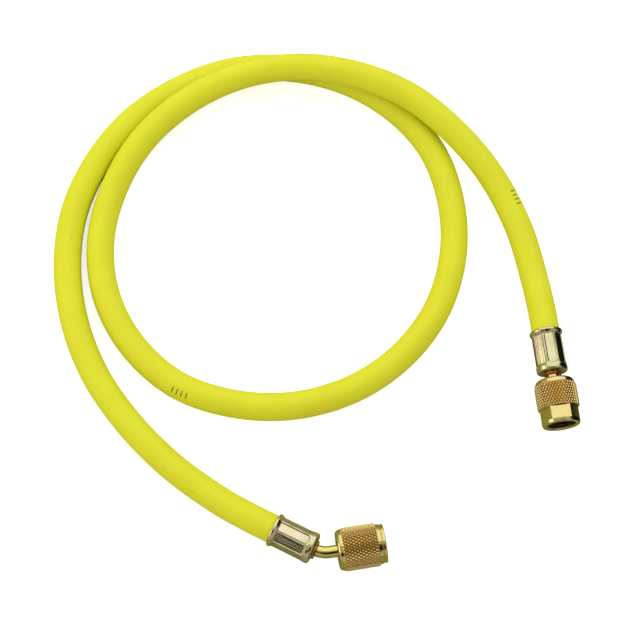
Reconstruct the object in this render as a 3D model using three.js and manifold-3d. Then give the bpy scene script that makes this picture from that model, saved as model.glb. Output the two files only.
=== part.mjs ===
// A refrigerant charging hose: a yellow rubber hose with a crimped ferrule, a brass stem and a
// knurled swivel nut at each end. One end is angled and holds a valve core depressor, the other
// is straight. Millimetres, +Z up. The hose lies in one loop on the plane z = 0 and crosses
// over itself once; the two nuts rest on the same plane.

import * as THREE from 'three';
import { mergeVertices } from 'three/addons/utils/BufferGeometryUtils.js';
import Module from 'manifold-3d';

const wasm = await Module();
wasm.setup();

// Clearance between pieces that touch in the real hose.
const GAP = 0.3;

// Hose
const HOSE_BORE_RADIUS = 2.4;
const HOSE_WALL = 2.95;
const HOSE_SIDES = 12;
const HOSE_STEPS = 80;
const HOSE_MEASURES = 2000;

// Ferrule: a flared lip, a body pressed into the hose, a rolled bead and an end wall
const FERRULE_LENGTH = 16.5;
const FERRULE_WALL = 0.6;
const FERRULE_LIP_WALL = 0.75;
const FERRULE_LIP_LENGTH = 1.4;
const FERRULE_TAPER_LENGTH = 0.9;
const FERRULE_BEAD_LENGTH = 2.7;
const FERRULE_BEAD_HEIGHT = 0.25;
const FERRULE_BEAD_RISE = 0.8;
const FERRULE_END_ROUNDING = 1.1;
const FERRULE_END_WALL = 1.6;
const CRIMP_SQUEEZE = 0.8;
const CRIMP_PANELS = 8;
const CRIMP_PANEL_DEPTH = 0.25;
const CRIMP_TURN_ANGLED = -11;
const CRIMP_TURN_STRAIGHT = 0;

// Stem: the insert in the hose, a shoulder and a flange with the ferrule's end wall between
// them, the bare tube, and the collar that the nut turns on
const STEM_BORE_RADIUS = 1.2;
const STEM_WALL = 1.05;
const STEM_INSERT_START = 1.5;
const STEM_SHOULDER_HEIGHT = 1;
const STEM_SHOULDER_THICKNESS = 0.9;
const STEM_FLANGE_HEIGHT = 1.25;
const STEM_FLANGE_THICKNESS = 0.7;
const STEM_STRAIGHT_REACH = 3.25;
const STEM_BEND_START = 0.4;
const STEM_BEND_RADIUS = 9;
const STEM_BEND_REACH = 2.75;
const COLLAR_WEB = 0.7;

// Swivel nut for a 1/4 in flare, thread 7/16-20; the straight end's has 1/2 in wrench flats
const THREAD_MINOR_RADIUS = 4.95;
const THREAD_DEPTH = 0.61;
const HEX_WALL = 0.79;
const RIM_WALL = 1.69;
const BARREL_WALL = 2.39;
const NUT_LENGTH = 17.7;
const NUT_BACK_WALL = 2.5;
const NUT_SHOULDER_LENGTH = 2;
const NUT_SHOULDER_DROP = 1.3;
const RIM_ROUNDING = 0.4;
const RIM_LENGTH_ANGLED = 2.8;
const RIM_LENGTH_STRAIGHT = 1.4;
const HEX_LENGTH_STRAIGHT = 5.1;
const HEX_TURN_STRAIGHT = 4;

// Sealing washer and valve core depressor
const GASKET_THICKNESS = 2.3;
const GASKET_BORE_RADIUS = 1.4;
const DEPRESSOR_OVERLAP = 0.3;
const DEPRESSOR_BAR_WIDTH = 1.4;
const DEPRESSOR_BAR_THICKNESS = 1.2;
const DEPRESSOR_PIN_RADIUS = 0.6;
const DEPRESSOR_PIN_REACH = 1.2;

const TURNED_SIDES = 36;
const SMALL_SIDES = 20;
const ROUNDING_STEPS = 5;
const BEND_STEPS = 14;
const WELD_DISTANCE = 1e-4;

// Where each ferrule's lip stands, and the heading of its axis, in degrees from +X
const ANGLED_END = { x: -13.6, y: -90.6, heading: -26.5, bend: 35.7 };
const STRAIGHT_END = { x: 89.6, y: -14, heading: -83.5 };
const HOSE_LEAD = 8;

// The hose's route between the two fittings, from the angled end to the straight one: x, y and
// how high the hose's underside is lifted off the floor. It circles once on the floor and then
// climbs over its own first turn.
const HOSE_ROUTE = [
  [-33.5, -79.5, 0.6],
  [-52.0, -66.0, 0],
  [-68.5, -49.5, 0],
  [-82.0, -30.5, 0],
  [-91.0, -9.0, 0],
  [-95.0, 14.0, 0],
  [-93.5, 37.0, 0],
  [-85.5, 58.5, 0],
  [-72.0, 77.5, 0],
  [-53.5, 91.5, 0],
  [-32.0, 100.0, 0],
  [-8.5, 101.0, 0],
  [14.0, 95.0, 0],
  [33.5, 82.5, 0],
  [48.0, 64.5, 0],
  [55.0, 42.5, 0],
  [55.5, 19.5, 0],
  [49.0, -3.0, 0],
  [35.5, -22.0, 0],
  [17.0, -35.5, 0],
  [-5.5, -42.5, 0],
  [-28.5, -42.0, 0],
  [-50.5, -34.5, 0],
  [-68.0, -19.0, 0],
  [-79.0, 1.0, 0],
  [-82.5, 24.0, 0.2],
  [-78.0, 47.0, 1.2],
  [-67.0, 67.0, 3.7],
  [-50.0, 82.5, 6.4],
  [-29.5, 92.5, 8.7],
  [-6.5, 96.0, 10.4],
  [16.5, 92.5, 11.3],
  [38.0, 83.5, 10.7],
  [56.0, 69.0, 8.2],
  [70.5, 51.5, 4.9],
  [81.0, 30.5, 1.8],
  [86.5, 8.5, 1.1],
];

// Sizes that follow from the ones above
const HOSE_RADIUS = HOSE_BORE_RADIUS + HOSE_WALL;
const HOSE_BORE_FLAT = HOSE_BORE_RADIUS * Math.cos(Math.PI / HOSE_SIDES);
const CRIMPED_RADIUS = HOSE_RADIUS - CRIMP_SQUEEZE;
const FERRULE_BORE_RADIUS = CRIMPED_RADIUS + GAP;
const FERRULE_RADIUS = FERRULE_BORE_RADIUS + FERRULE_WALL;
const FERRULE_WALL_START = FERRULE_LENGTH - FERRULE_END_WALL;
const STEM_RADIUS = STEM_BORE_RADIUS + STEM_WALL;
const STEM_HOLE_RADIUS = STEM_RADIUS + GAP;
const STEM_INSERT_RADIUS = HOSE_BORE_FLAT - GAP;
const STEM_SHOULDER_RADIUS = Math.max(STEM_RADIUS, STEM_INSERT_RADIUS) + STEM_SHOULDER_HEIGHT;
const STEM_SHOULDER_END = FERRULE_WALL_START - GAP;
const STEM_SHOULDER_START = STEM_SHOULDER_END - STEM_SHOULDER_THICKNESS;
const HOSE_END_DEPTH = STEM_SHOULDER_START - GAP;
const STEM_FLANGE_RADIUS = STEM_RADIUS + STEM_FLANGE_HEIGHT;
const STEM_FLANGE_START = FERRULE_LENGTH + GAP;
const STEM_FLANGE_END = STEM_FLANGE_START + STEM_FLANGE_THICKNESS;
const THREAD_MAJOR_RADIUS = THREAD_MINOR_RADIUS + THREAD_DEPTH;
const HEX_FLAT_RADIUS = THREAD_MAJOR_RADIUS + HEX_WALL;
const RIM_RADIUS = THREAD_MAJOR_RADIUS + RIM_WALL;
const NUT_RADIUS = THREAD_MAJOR_RADIUS + BARREL_WALL;
const COLLAR_RADIUS = THREAD_MINOR_RADIUS - GAP;
const COLLAR_START = NUT_BACK_WALL + GAP;
const DEPRESSOR_SEAT_START = COLLAR_START + COLLAR_WEB;
const DEPRESSOR_BAR_START = DEPRESSOR_SEAT_START + GAP;
const DEPRESSOR_BAR_RADIUS = GASKET_BORE_RADIUS + DEPRESSOR_OVERLAP;
const DEPRESSOR_SEAT_RADIUS = DEPRESSOR_BAR_RADIUS + GAP;
const COLLAR_END = DEPRESSOR_BAR_START + DEPRESSOR_BAR_THICKNESS;
const GASKET_START = COLLAR_END + GAP;
const GASKET_END = GASKET_START + GASKET_THICKNESS;

// The nuts rest on the floor, so both fittings lie at the height of a nut's radius.
const FITTING_HEIGHT = NUT_RADIUS;

// How far a cutting shape runs past what it cuts.
const CUT_PAST = 1;

// A vector along a heading in degrees, in the plane of the floor.
function along(heading, distance) {
  const angle = THREE.MathUtils.degToRad(heading);
  return new THREE.Vector3(Math.cos(angle) * distance, Math.sin(angle) * distance, 0);
}

function solidFrom(geometry) {
  const bare = geometry.clone();
  bare.deleteAttribute('normal');
  bare.deleteAttribute('uv');
  const merged = mergeVertices(bare, WELD_DISTANCE);
  return new wasm.Manifold(new wasm.Mesh({
    numProp: 3,
    vertProperties: new Float32Array(merged.attributes.position.array),
    triVerts: new Uint32Array(merged.index.array),
  }));
}

function geometryFrom(solid) {
  const mesh = solid.getMesh();
  const geometry = new THREE.BufferGeometry();
  geometry.setAttribute('position', new THREE.BufferAttribute(mesh.vertProperties, 3));
  geometry.setIndex(new THREE.BufferAttribute(mesh.triVerts, 1));
  return geometry;
}

// A solid turned about +X. The profile is a list of [distance along the axis, radius]: it runs
// out along the outside and back along the bore, or starts and ends on the axis.
function turned(profile, sides = TURNED_SIDES) {
  const points = profile.map(([distance, radius]) => new THREE.Vector2(radius, distance));
  return new THREE.LatheGeometry(points, sides).rotateZ(-Math.PI / 2);
}

// A ring or tube about +X from one distance to another.
function turnedRing(start, end, bore, radius, sides = TURNED_SIDES) {
  return turned([
    [start, bore], [start, radius], [end, radius], [end, bore], [start, bore],
  ], sides);
}

function turnedRod(start, end, radius, sides = TURNED_SIDES) {
  return turned([[start, 0], [start, radius], [end, radius], [end, 0]], sides);
}

// The points of a quarter-round edge: each comes from how far it has gone along the first
// direction and how far it has come down the second, both from 0 to 1.
function quarterRound(pointAt) {
  return Array.from({ length: ROUNDING_STEPS + 1 }, (_, step) => {
    const angle = (Math.PI / 2) * (step / ROUNDING_STEPS);
    return pointAt(Math.sin(angle), 1 - Math.cos(angle));
  });
}

// A regular section for a tube, with an optional bore.
function roundSection(radius, sides, bore = 0) {
  const polygon = (size) => Array.from({ length: sides }, (_, side) => {
    const angle = (2 * Math.PI * side) / sides;
    return new THREE.Vector2(size * Math.cos(angle), size * Math.sin(angle));
  });
  const section = new THREE.Shape(polygon(radius));
  if (bore > 0) {
    section.holes.push(new THREE.Path(polygon(bore).reverse()));
  }
  return section;
}

function swept(section, path, steps) {
  return new THREE.ExtrudeGeometry(section, { steps, extrudePath: path, curveSegments: 1 });
}

// The centre line of a bent tube in its own plane: it leaves along +X from a start point, turns
// left through the bend, and runs on straight.
class BentPath extends THREE.Curve {
  constructor(startX, bendX, bendRadius, bendAngle, endReach) {
    super();
    this.startX = startX;
    this.bendX = bendX;
    this.bendRadius = bendRadius;
    this.bendAngle = bendAngle;
    this.endReach = endReach;
  }

  getPoint(t, target = new THREE.Vector3()) {
    const straight = this.bendX - this.startX;
    const arc = this.bendRadius * this.bendAngle;
    const distance = t * (straight + arc + this.endReach);
    if (distance <= straight) {
      return target.set(this.startX + distance, 0, 0);
    }
    const turn = Math.min((distance - straight) / this.bendRadius, this.bendAngle);
    const past = Math.max(distance - straight - arc, 0);
    return target.set(
      this.bendX + this.bendRadius * Math.sin(turn) + past * Math.cos(turn),
      this.bendRadius * (1 - Math.cos(turn)) + past * Math.sin(turn),
      0,
    );
  }
}

// A fitting's frame: +X is the ferrule's axis and the origin the middle of its lip.
function fittingGroup(end) {
  const group = new THREE.Group();
  group.position.set(end.x, end.y, FITTING_HEIGHT);
  group.rotation.z = THREE.MathUtils.degToRad(end.heading);
  group.updateMatrixWorld(true);
  return group;
}

// The straight stretch at each end of the hose: its cut end inside the ferrule, the ferrule's
// lip, and a point on the fitting's axis ahead of the lip.
function hoseEndPoints(end) {
  return [HOSE_END_DEPTH, 0, -HOSE_LEAD].map((distance) => {
    const lip = new THREE.Vector3(end.x, end.y, FITTING_HEIGHT);
    return lip.add(along(end.heading, distance));
  });
}

// The hose, pressed thinner where the ferrules grip it.
function hoseGeometry(ends) {
  const route = new THREE.CatmullRomCurve3([
    ...hoseEndPoints(ANGLED_END),
    ...HOSE_ROUTE.map(([x, y, lift]) => new THREE.Vector3(x, y, HOSE_RADIUS + lift)),
    ...hoseEndPoints(STRAIGHT_END).reverse(),
  ], false, 'centripetal');
  route.arcLengthDivisions = HOSE_MEASURES;
  const section = roundSection(HOSE_RADIUS, HOSE_SIDES, HOSE_BORE_RADIUS);
  let hose = solidFrom(swept(section, route, HOSE_STEPS));
  const crimpStart = FERRULE_LIP_LENGTH - GAP;
  for (const end of ends) {
    const squeezed = turnedRing(
      crimpStart, FERRULE_LENGTH, CRIMPED_RADIUS, HOSE_RADIUS + CUT_PAST, SMALL_SIDES,
    );
    hose = hose.subtract(solidFrom(squeezed.applyMatrix4(end.matrixWorld)));
  }
  return geometryFrom(hose);
}

// A turned sleeve with flat panels pressed around its body; at a turn of 0 one of them faces up.
function ferruleGeometry(crimpTurn) {
  const lipBore = HOSE_RADIUS + GAP;
  const lipRadius = lipBore + FERRULE_LIP_WALL;
  const taperEnd = FERRULE_LIP_LENGTH + FERRULE_TAPER_LENGTH;
  const beadStart = FERRULE_LENGTH - FERRULE_BEAD_LENGTH;
  const beadRadius = FERRULE_RADIUS + FERRULE_BEAD_HEIGHT;
  const bead = quarterRound((along, down) => [
    beadStart + FERRULE_BEAD_RISE + (FERRULE_BEAD_LENGTH - FERRULE_BEAD_RISE) * along,
    beadRadius - FERRULE_END_ROUNDING * down,
  ]);
  const sleeve = turned([
    [0, lipBore],
    [0, lipRadius - GAP],
    [GAP, lipRadius],
    [FERRULE_LIP_LENGTH - GAP, lipRadius],
    [taperEnd, FERRULE_RADIUS],
    [beadStart, FERRULE_RADIUS],
    ...bead,
    [FERRULE_LENGTH, STEM_HOLE_RADIUS],
    [FERRULE_WALL_START, STEM_HOLE_RADIUS],
    [FERRULE_WALL_START, FERRULE_BORE_RADIUS],
    [taperEnd, FERRULE_BORE_RADIUS],
    [FERRULE_LIP_LENGTH, lipBore],
    [0, lipBore],
  ]);
  const around = turnedRod(taperEnd, beadStart, FERRULE_RADIUS + CUT_PAST);
  const panelCorner = (FERRULE_RADIUS - CRIMP_PANEL_DEPTH) / Math.cos(Math.PI / CRIMP_PANELS);
  const panels = turnedRod(taperEnd - CUT_PAST, beadStart + CUT_PAST, panelCorner, CRIMP_PANELS)
    .rotateX(Math.PI / CRIMP_PANELS + THREE.MathUtils.degToRad(crimpTurn));
  const pressedAway = solidFrom(around).subtract(solidFrom(panels));
  return geometryFrom(solidFrom(sleeve).subtract(pressedAway));
}

function straightStemGeometry() {
  const nutBack = FERRULE_LENGTH + STEM_STRAIGHT_REACH;
  return turned([
    [STEM_INSERT_START, STEM_BORE_RADIUS],
    [STEM_INSERT_START, STEM_INSERT_RADIUS],
    [STEM_SHOULDER_START, STEM_INSERT_RADIUS],
    [STEM_SHOULDER_START, STEM_SHOULDER_RADIUS],
    [STEM_SHOULDER_END, STEM_SHOULDER_RADIUS],
    [STEM_SHOULDER_END, STEM_RADIUS],
    [STEM_FLANGE_START, STEM_RADIUS],
    [STEM_FLANGE_START, STEM_FLANGE_RADIUS],
    [STEM_FLANGE_END, STEM_FLANGE_RADIUS],
    [STEM_FLANGE_END, STEM_RADIUS],
    [nutBack + COLLAR_START, STEM_RADIUS],
    [nutBack + COLLAR_START, COLLAR_RADIUS],
    [nutBack + COLLAR_END, COLLAR_RADIUS],
    [nutBack + COLLAR_END, STEM_BORE_RADIUS],
    [STEM_INSERT_START, STEM_BORE_RADIUS],
  ], SMALL_SIDES);
}

// The bent stem, with a seat for the depressor in its collar's face.
function bentStemGeometry(nutMatrix) {
  const joinX = STEM_SHOULDER_START + STEM_SHOULDER_THICKNESS / 2;
  const bendX = FERRULE_LENGTH + STEM_BEND_START;
  const bend = THREE.MathUtils.degToRad(ANGLED_END.bend);
  const toCollar = STEM_BEND_REACH + COLLAR_START;
  const tubePath = new BentPath(
    joinX, bendX, STEM_BEND_RADIUS, bend, toCollar + COLLAR_WEB / 2,
  );
  const borePath = new BentPath(
    STEM_INSERT_START - CUT_PAST, bendX, STEM_BEND_RADIUS, bend,
    toCollar + COLLAR_WEB + CUT_PAST,
  );
  const insert = turnedRod(STEM_INSERT_START, joinX, STEM_INSERT_RADIUS, SMALL_SIDES);
  const shoulder = turnedRod(
    STEM_SHOULDER_START, STEM_SHOULDER_END, STEM_SHOULDER_RADIUS, SMALL_SIDES,
  );
  const flange = turnedRod(
    STEM_FLANGE_START, STEM_FLANGE_END, STEM_FLANGE_RADIUS, SMALL_SIDES,
  );
  const tube = swept(roundSection(STEM_RADIUS, SMALL_SIDES), tubePath, BEND_STEPS);
  const bore = swept(roundSection(STEM_BORE_RADIUS, SMALL_SIDES), borePath, BEND_STEPS);
  const collar = turnedRod(COLLAR_START, COLLAR_END, COLLAR_RADIUS, SMALL_SIDES);
  const seat = turnedRod(
    DEPRESSOR_SEAT_START, COLLAR_END + CUT_PAST, DEPRESSOR_SEAT_RADIUS, SMALL_SIDES,
  );
  return geometryFrom(
    solidFrom(insert)
      .add(solidFrom(shoulder))
      .add(solidFrom(flange))
      .add(solidFrom(tube))
      .add(solidFrom(collar.applyMatrix4(nutMatrix)))
      .subtract(solidFrom(bore))
      .subtract(solidFrom(seat.applyMatrix4(nutMatrix))),
  );
}

// A swivel nut in its own frame: its back face is at the origin and its mouth faces +X. The
// knurled barrel ends in a round rim, with or without a hexagon between them whose corners are
// turned round.
function nutGeometry(rimLength, hexLength = 0, hexTurn = 0) {
  const rimStart = NUT_LENGTH - rimLength;
  const barrelEnd = rimStart - hexLength;
  const shoulder = quarterRound((out, down) => [
    NUT_SHOULDER_LENGTH * (1 - out),
    NUT_RADIUS - NUT_SHOULDER_DROP * down,
  ]).reverse();
  const body = solidFrom(turned([
    [0, STEM_HOLE_RADIUS],
    ...shoulder,
    [barrelEnd, NUT_RADIUS],
    [barrelEnd, RIM_RADIUS],
    [NUT_LENGTH - RIM_ROUNDING, RIM_RADIUS],
    [NUT_LENGTH, RIM_RADIUS - RIM_ROUNDING],
    [NUT_LENGTH, THREAD_MAJOR_RADIUS],
    [NUT_LENGTH - THREAD_DEPTH, THREAD_MINOR_RADIUS],
    [NUT_BACK_WALL, THREAD_MINOR_RADIUS],
    [NUT_BACK_WALL, STEM_HOLE_RADIUS],
    [0, STEM_HOLE_RADIUS],
  ]));
  const barrel = turnedRod(-CUT_PAST, barrelEnd, NUT_RADIUS + CUT_PAST);
  const hexRadius = HEX_FLAT_RADIUS / Math.cos(Math.PI / 6);
  const hex = turnedRod(barrelEnd - CUT_PAST, NUT_LENGTH, hexRadius, 6)
    .rotateX(THREE.MathUtils.degToRad(30 + hexTurn));
  const rim = turnedRod(rimStart, NUT_LENGTH + CUT_PAST, NUT_RADIUS + CUT_PAST);
  return geometryFrom(
    body.intersect(solidFrom(barrel).add(solidFrom(hex)).add(solidFrom(rim))),
  );
}

function gasketGeometry() {
  return turnedRing(
    GASKET_START, GASKET_END, GASKET_BORE_RADIUS, COLLAR_RADIUS, SMALL_SIDES,
  );
}

// A flat bar that lies in the stem's seat and lets gas past on both sides, with a pin that
// reaches through the washer.
function depressorGeometry() {
  const bar = new THREE.BoxGeometry(
    DEPRESSOR_BAR_THICKNESS, DEPRESSOR_BAR_WIDTH, 2 * DEPRESSOR_BAR_RADIUS,
  ).translate(DEPRESSOR_BAR_START + DEPRESSOR_BAR_THICKNESS / 2, 0, 0);
  const seat = turnedRod(
    DEPRESSOR_BAR_START - CUT_PAST, COLLAR_END + CUT_PAST, DEPRESSOR_BAR_RADIUS, SMALL_SIDES,
  );
  const pin = turnedRod(
    DEPRESSOR_BAR_START + DEPRESSOR_BAR_THICKNESS / 2, GASKET_END + DEPRESSOR_PIN_REACH,
    DEPRESSOR_PIN_RADIUS, SMALL_SIDES,
  );
  return geometryFrom(solidFrom(bar).intersect(solidFrom(seat)).add(solidFrom(pin)));
}

const FINISHES = {
  rubber_yellow: { color: 0xd9dc2e, roughness: 0.7, metalness: 0 },
  plated_steel: { color: 0xb9b078, roughness: 0.25, metalness: 1 },
  brass: { color: 0xc9a94a, roughness: 0.3, metalness: 1 },
  rubber_black: { color: 0x1c1c1c, roughness: 0.8, metalness: 0 },
};

function piece(name, geometry, finish) {
  const mesh = new THREE.Mesh(geometry, new THREE.MeshStandardMaterial(FINISHES[finish]));
  mesh.name = name;
  return mesh;
}

const chargingHose = new THREE.Group();

const angledEnd = fittingGroup(ANGLED_END);
const straightEnd = fittingGroup(STRAIGHT_END);

// The angled nut's frame, inside its fitting's: past the bend, at the bend's angle.
const bendAngle = THREE.MathUtils.degToRad(ANGLED_END.bend);
const angledNut = new THREE.Group();
const nutBackPoint = new BentPath(
  0, FERRULE_LENGTH + STEM_BEND_START, STEM_BEND_RADIUS, bendAngle, STEM_BEND_REACH,
).getPoint(1);
angledNut.position.copy(nutBackPoint);
angledNut.rotation.z = bendAngle;
angledNut.updateMatrix();

const straightNut = new THREE.Group();
straightNut.position.x = FERRULE_LENGTH + STEM_STRAIGHT_REACH;

chargingHose.add(piece('hose', hoseGeometry([angledEnd, straightEnd]), 'rubber_yellow'));

angledEnd.add(piece('ferrule_a', ferruleGeometry(CRIMP_TURN_ANGLED), 'plated_steel'));
angledEnd.add(piece('stem_a', bentStemGeometry(angledNut.matrix), 'brass'));
angledNut.add(piece('nut_a', nutGeometry(RIM_LENGTH_ANGLED), 'brass'));
angledNut.add(piece('gasket_a', gasketGeometry(), 'rubber_black'));
angledNut.add(piece('core_depressor', depressorGeometry(), 'brass'));
angledEnd.add(angledNut);

straightEnd.add(piece('ferrule_b', ferruleGeometry(CRIMP_TURN_STRAIGHT), 'plated_steel'));
straightEnd.add(piece('stem_b', straightStemGeometry(), 'brass'));
straightNut.add(piece(
  'nut_b', nutGeometry(RIM_LENGTH_STRAIGHT, HEX_LENGTH_STRAIGHT, HEX_TURN_STRAIGHT), 'brass',
));
straightNut.add(piece('gasket_b', gasketGeometry(), 'rubber_black'));
straightEnd.add(straightNut);

chargingHose.add(angledEnd, straightEnd);

export default chargingHose;
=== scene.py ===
"""The looks of a refrigerant charging hose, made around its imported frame. Metres, +Z up.

A yellow rubber hose lies in one loop. At each end a plated ferrule is crimped round it, and a
brass stem carries a knurled brass nut that turns on it. One end is straight, and the stem of
the other is bent and holds a valve core depressor.
"""

import bisect
import logging
import math
from collections.abc import Mapping, Sequence
from dataclasses import dataclass
from enum import Enum
from functools import cache
from itertools import accumulate, pairwise
from typing import Protocol

import bmesh
import bpy
from mathutils import Matrix, Vector


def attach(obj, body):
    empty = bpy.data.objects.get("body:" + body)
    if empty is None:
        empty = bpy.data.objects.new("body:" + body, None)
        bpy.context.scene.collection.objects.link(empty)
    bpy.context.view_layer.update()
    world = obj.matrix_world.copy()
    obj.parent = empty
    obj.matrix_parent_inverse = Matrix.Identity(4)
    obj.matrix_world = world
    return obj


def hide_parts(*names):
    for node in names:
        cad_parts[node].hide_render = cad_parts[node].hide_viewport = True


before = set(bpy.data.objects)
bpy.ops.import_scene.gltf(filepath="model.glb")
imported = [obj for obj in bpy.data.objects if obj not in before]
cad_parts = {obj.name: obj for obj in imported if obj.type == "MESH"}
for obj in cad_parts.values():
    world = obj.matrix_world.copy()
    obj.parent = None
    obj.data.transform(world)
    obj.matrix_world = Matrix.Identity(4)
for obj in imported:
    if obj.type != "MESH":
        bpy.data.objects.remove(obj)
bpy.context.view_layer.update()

LOG = logging.getLogger("charging_hose")

Outline = Sequence[tuple[float, float]]
Colour = tuple[float, float, float]

# The map that runs along and round each piece, and the masks that the shape rules leave on it:
# the knurl's grooves, the threaded bore and the creases beside pressed ribs; the materials paint
# shade into all three.
TURNING_MAP = "turning"
GROOVE = "groove"
THREAD = "thread"
CREASE_SHADE = "crease"

# How finely the pieces are divided: the steps in a rounded corner, the sides that stand for a
# round, the parts from one row of diamonds to the next, and the rings in one thread turn.
CORNER_STEPS = 4
FINE_SIDES = 384
PLAIN_SIDES = 64
HOSE_SIDES = 48
KNURL_PARTS = 4
THREAD_PARTS = 8

# A step too small to see, how far a radius may be from one that a rule looks for, and how near
# to each other points are one.
EDGE = 0.00003
NEAR = 0.0001
WELD = 1e-7


class Body(Enum):
    """The bodies of the frame that pieces ride on."""

    HOSE = "hose_line"
    ANGLED_NUT = "swivel_a"
    STRAIGHT_NUT = "swivel_b"


class Slot(Enum):
    """The material slots of the record."""

    RUBBER = "hose_rubber"
    PLATED = "plated_steel"
    BRASS = "brass"
    SEAL = "seal_rubber"


class Path(Protocol):
    """A line that sections are set square to."""

    def at(self, distance: float) -> Matrix:
        """Gives the frame at a distance: +X runs along the line."""
        ...


@dataclass(frozen=True)
class StraightPath:
    """A level straight line.

    Attributes:
        start: where the distances are measured from.
        heading: the line's direction, in radians from +X.
    """

    start: Vector
    heading: float

    def at(self, distance: float) -> Matrix:
        """Gives the frame at a distance along the line."""
        turn = Matrix.Rotation(self.heading, 4, "Z")
        return Matrix.Translation(self.start) @ turn @ Matrix.Translation((distance, 0, 0))


@dataclass(frozen=True)
class BentPath:
    """A level line that runs straight, bends to the left and runs on straight.

    Attributes:
        straight: the line that it starts along.
        bend_start: the distance at which the bend starts.
        bend_radius: the bend's radius.
        bend: the bend's angle, in radians.
    """

    straight: StraightPath
    bend_start: float
    bend_radius: float
    bend: float

    @property
    def bend_end(self) -> float:
        """The distance at which the bend ends."""
        return self.bend_start + self.bend_radius * self.bend

    def at(self, distance: float) -> Matrix:
        """Finds a frame of the line.

        Args:
            distance: how far along the line it is.

        Returns:
            The frame: +X runs along the line, and +Z is up.
        """
        before = min(distance, self.bend_start)
        turned_by = (min(distance, self.bend_end) - self.bend_start) / self.bend_radius
        after = max(distance - self.bend_end, 0)
        return (
            self.straight.at(before)
            @ Matrix.Translation((0, self.bend_radius, 0))
            @ Matrix.Rotation(max(turned_by, 0), 4, "Z")
            @ Matrix.Translation((after, -self.bend_radius, 0))
        )


class RoutePath:
    """The smooth line of a hose through its guide points, measured along its length."""

    def __init__(self, guides: Sequence[Vector], steps: int = 40) -> None:
        """Runs a centripetal Catmull-Rom curve through the guide points.

        Args:
            guides: the points that the line goes through.
            steps: how many points it gets between two guides.
        """
        first = 2 * guides[0] - guides[1]
        last = 2 * guides[-1] - guides[-2]
        ends = [first, *guides, last]
        self.points = [
            catmull_rom_point(ends[index : index + 4], step / steps)
            for index in range(len(guides) - 1)
            for step in range(steps)
        ]
        self.points.append(guides[-1].copy())
        gaps = [(after - before).length for before, after in pairwise(self.points)]
        self.distances = list(accumulate(gaps, initial=0.0))
        self.length = self.distances[-1]

    def at(self, distance: float) -> Matrix:
        """Finds a frame of the line.

        Args:
            distance: how far along the line it is.

        Returns:
            The frame: +X runs along the line, and +Z is as upright as it can be.
        """
        index = bisect.bisect_right(self.distances, distance) - 1
        index = min(max(index, 0), len(self.points) - 2)
        span = self.distances[index + 1] - self.distances[index]
        share = (distance - self.distances[index]) / span
        ahead = self.tangent(index).lerp(self.tangent(index + 1), share).normalized()
        left = Vector((0, 0, 1)).cross(ahead).normalized()
        turn = Matrix((ahead, left, ahead.cross(left))).transposed().to_4x4()
        place = self.points[index].lerp(self.points[index + 1], share)
        return Matrix.Translation(place) @ turn

    def tangent(self, index: int) -> Vector:
        """Finds the line's direction at one of its points.

        Args:
            index: which point it is.

        Returns:
            The direction, of length 1.
        """
        before = self.points[max(index - 1, 0)]
        after = self.points[min(index + 1, len(self.points) - 1)]
        return (after - before).normalized()


def catmull_rom_point(guides: Sequence[Vector], share: float) -> Vector:
    """Finds a point of a centripetal Catmull-Rom curve.

    Args:
        guides: four guide points; the point lies between the middle two.
        share: how far it is from the second guide to the third, from 0 to 1.

    Returns:
        The point.
    """
    gaps = ((after - before).length ** 0.5 for before, after in pairwise(guides))
    knots = list(accumulate(gaps, initial=0.0))
    knot = knots[1] + (knots[2] - knots[1]) * share

    def between(before: Vector, after: Vector, low: int, high: int) -> Vector:
        """Blends two points by where the knot lies between two others."""
        return before.lerp(after, (knot - knots[low]) / (knots[high] - knots[low]))

    outer = [between(guides[i], guides[i + 1], i, i + 1) for i in range(3)]
    inner = [between(outer[i], outer[i + 1], i, i + 2) for i in range(2)]
    return between(inner[0], inner[1], 1, 2)


BENCH = StraightPath(Vector((0, 0, 0)), 0.0)


def eased(corners: Sequence[tuple[float, float, float]]) -> list[tuple[float, float]]:
    """Rounds the corners of a closed outline.

    Args:
        corners: the distance, radius and rounding of each corner, in order.

    Returns:
        The distances and radii of the rounded outline's points.
    """
    outline: list[tuple[float, float]] = []
    for index, (distance, radius, rounding) in enumerate(corners):
        here = Vector((distance, radius))
        if rounding == 0:
            outline.append((distance, radius))
            continue
        ends = []
        for neighbour in (corners[index - 1], corners[(index + 1) % len(corners)]):
            away = Vector(neighbour[:2]) - here
            ends.append(here + away.normalized() * min(rounding, away.length * 0.49))
        for step in range(CORNER_STEPS + 1):
            share = step / CORNER_STEPS
            point = ends[0].lerp(here, share).lerp(here.lerp(ends[1], share), share)
            outline.append((point.x, point.y))
    return outline


def spaced(outline: Outline, step: float) -> list[tuple[float, float]]:
    """Adds points along a closed outline.

    Args:
        outline: the distances and radii of its points.
        step: how far apart two neighbours may be.

    Returns:
        The outline with the points that it needed.
    """
    points: list[tuple[float, float]] = []
    for index, (distance, radius) in enumerate(outline):
        next_distance, next_radius = outline[(index + 1) % len(outline)]
        gap = math.hypot(next_distance - distance, next_radius - radius)
        parts = max(1, math.ceil(gap / step))
        for part in range(parts):
            share = part / parts
            points.append((
                distance + (next_distance - distance) * share,
                radius + (next_radius - radius) * share,
            ))
    return points


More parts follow.
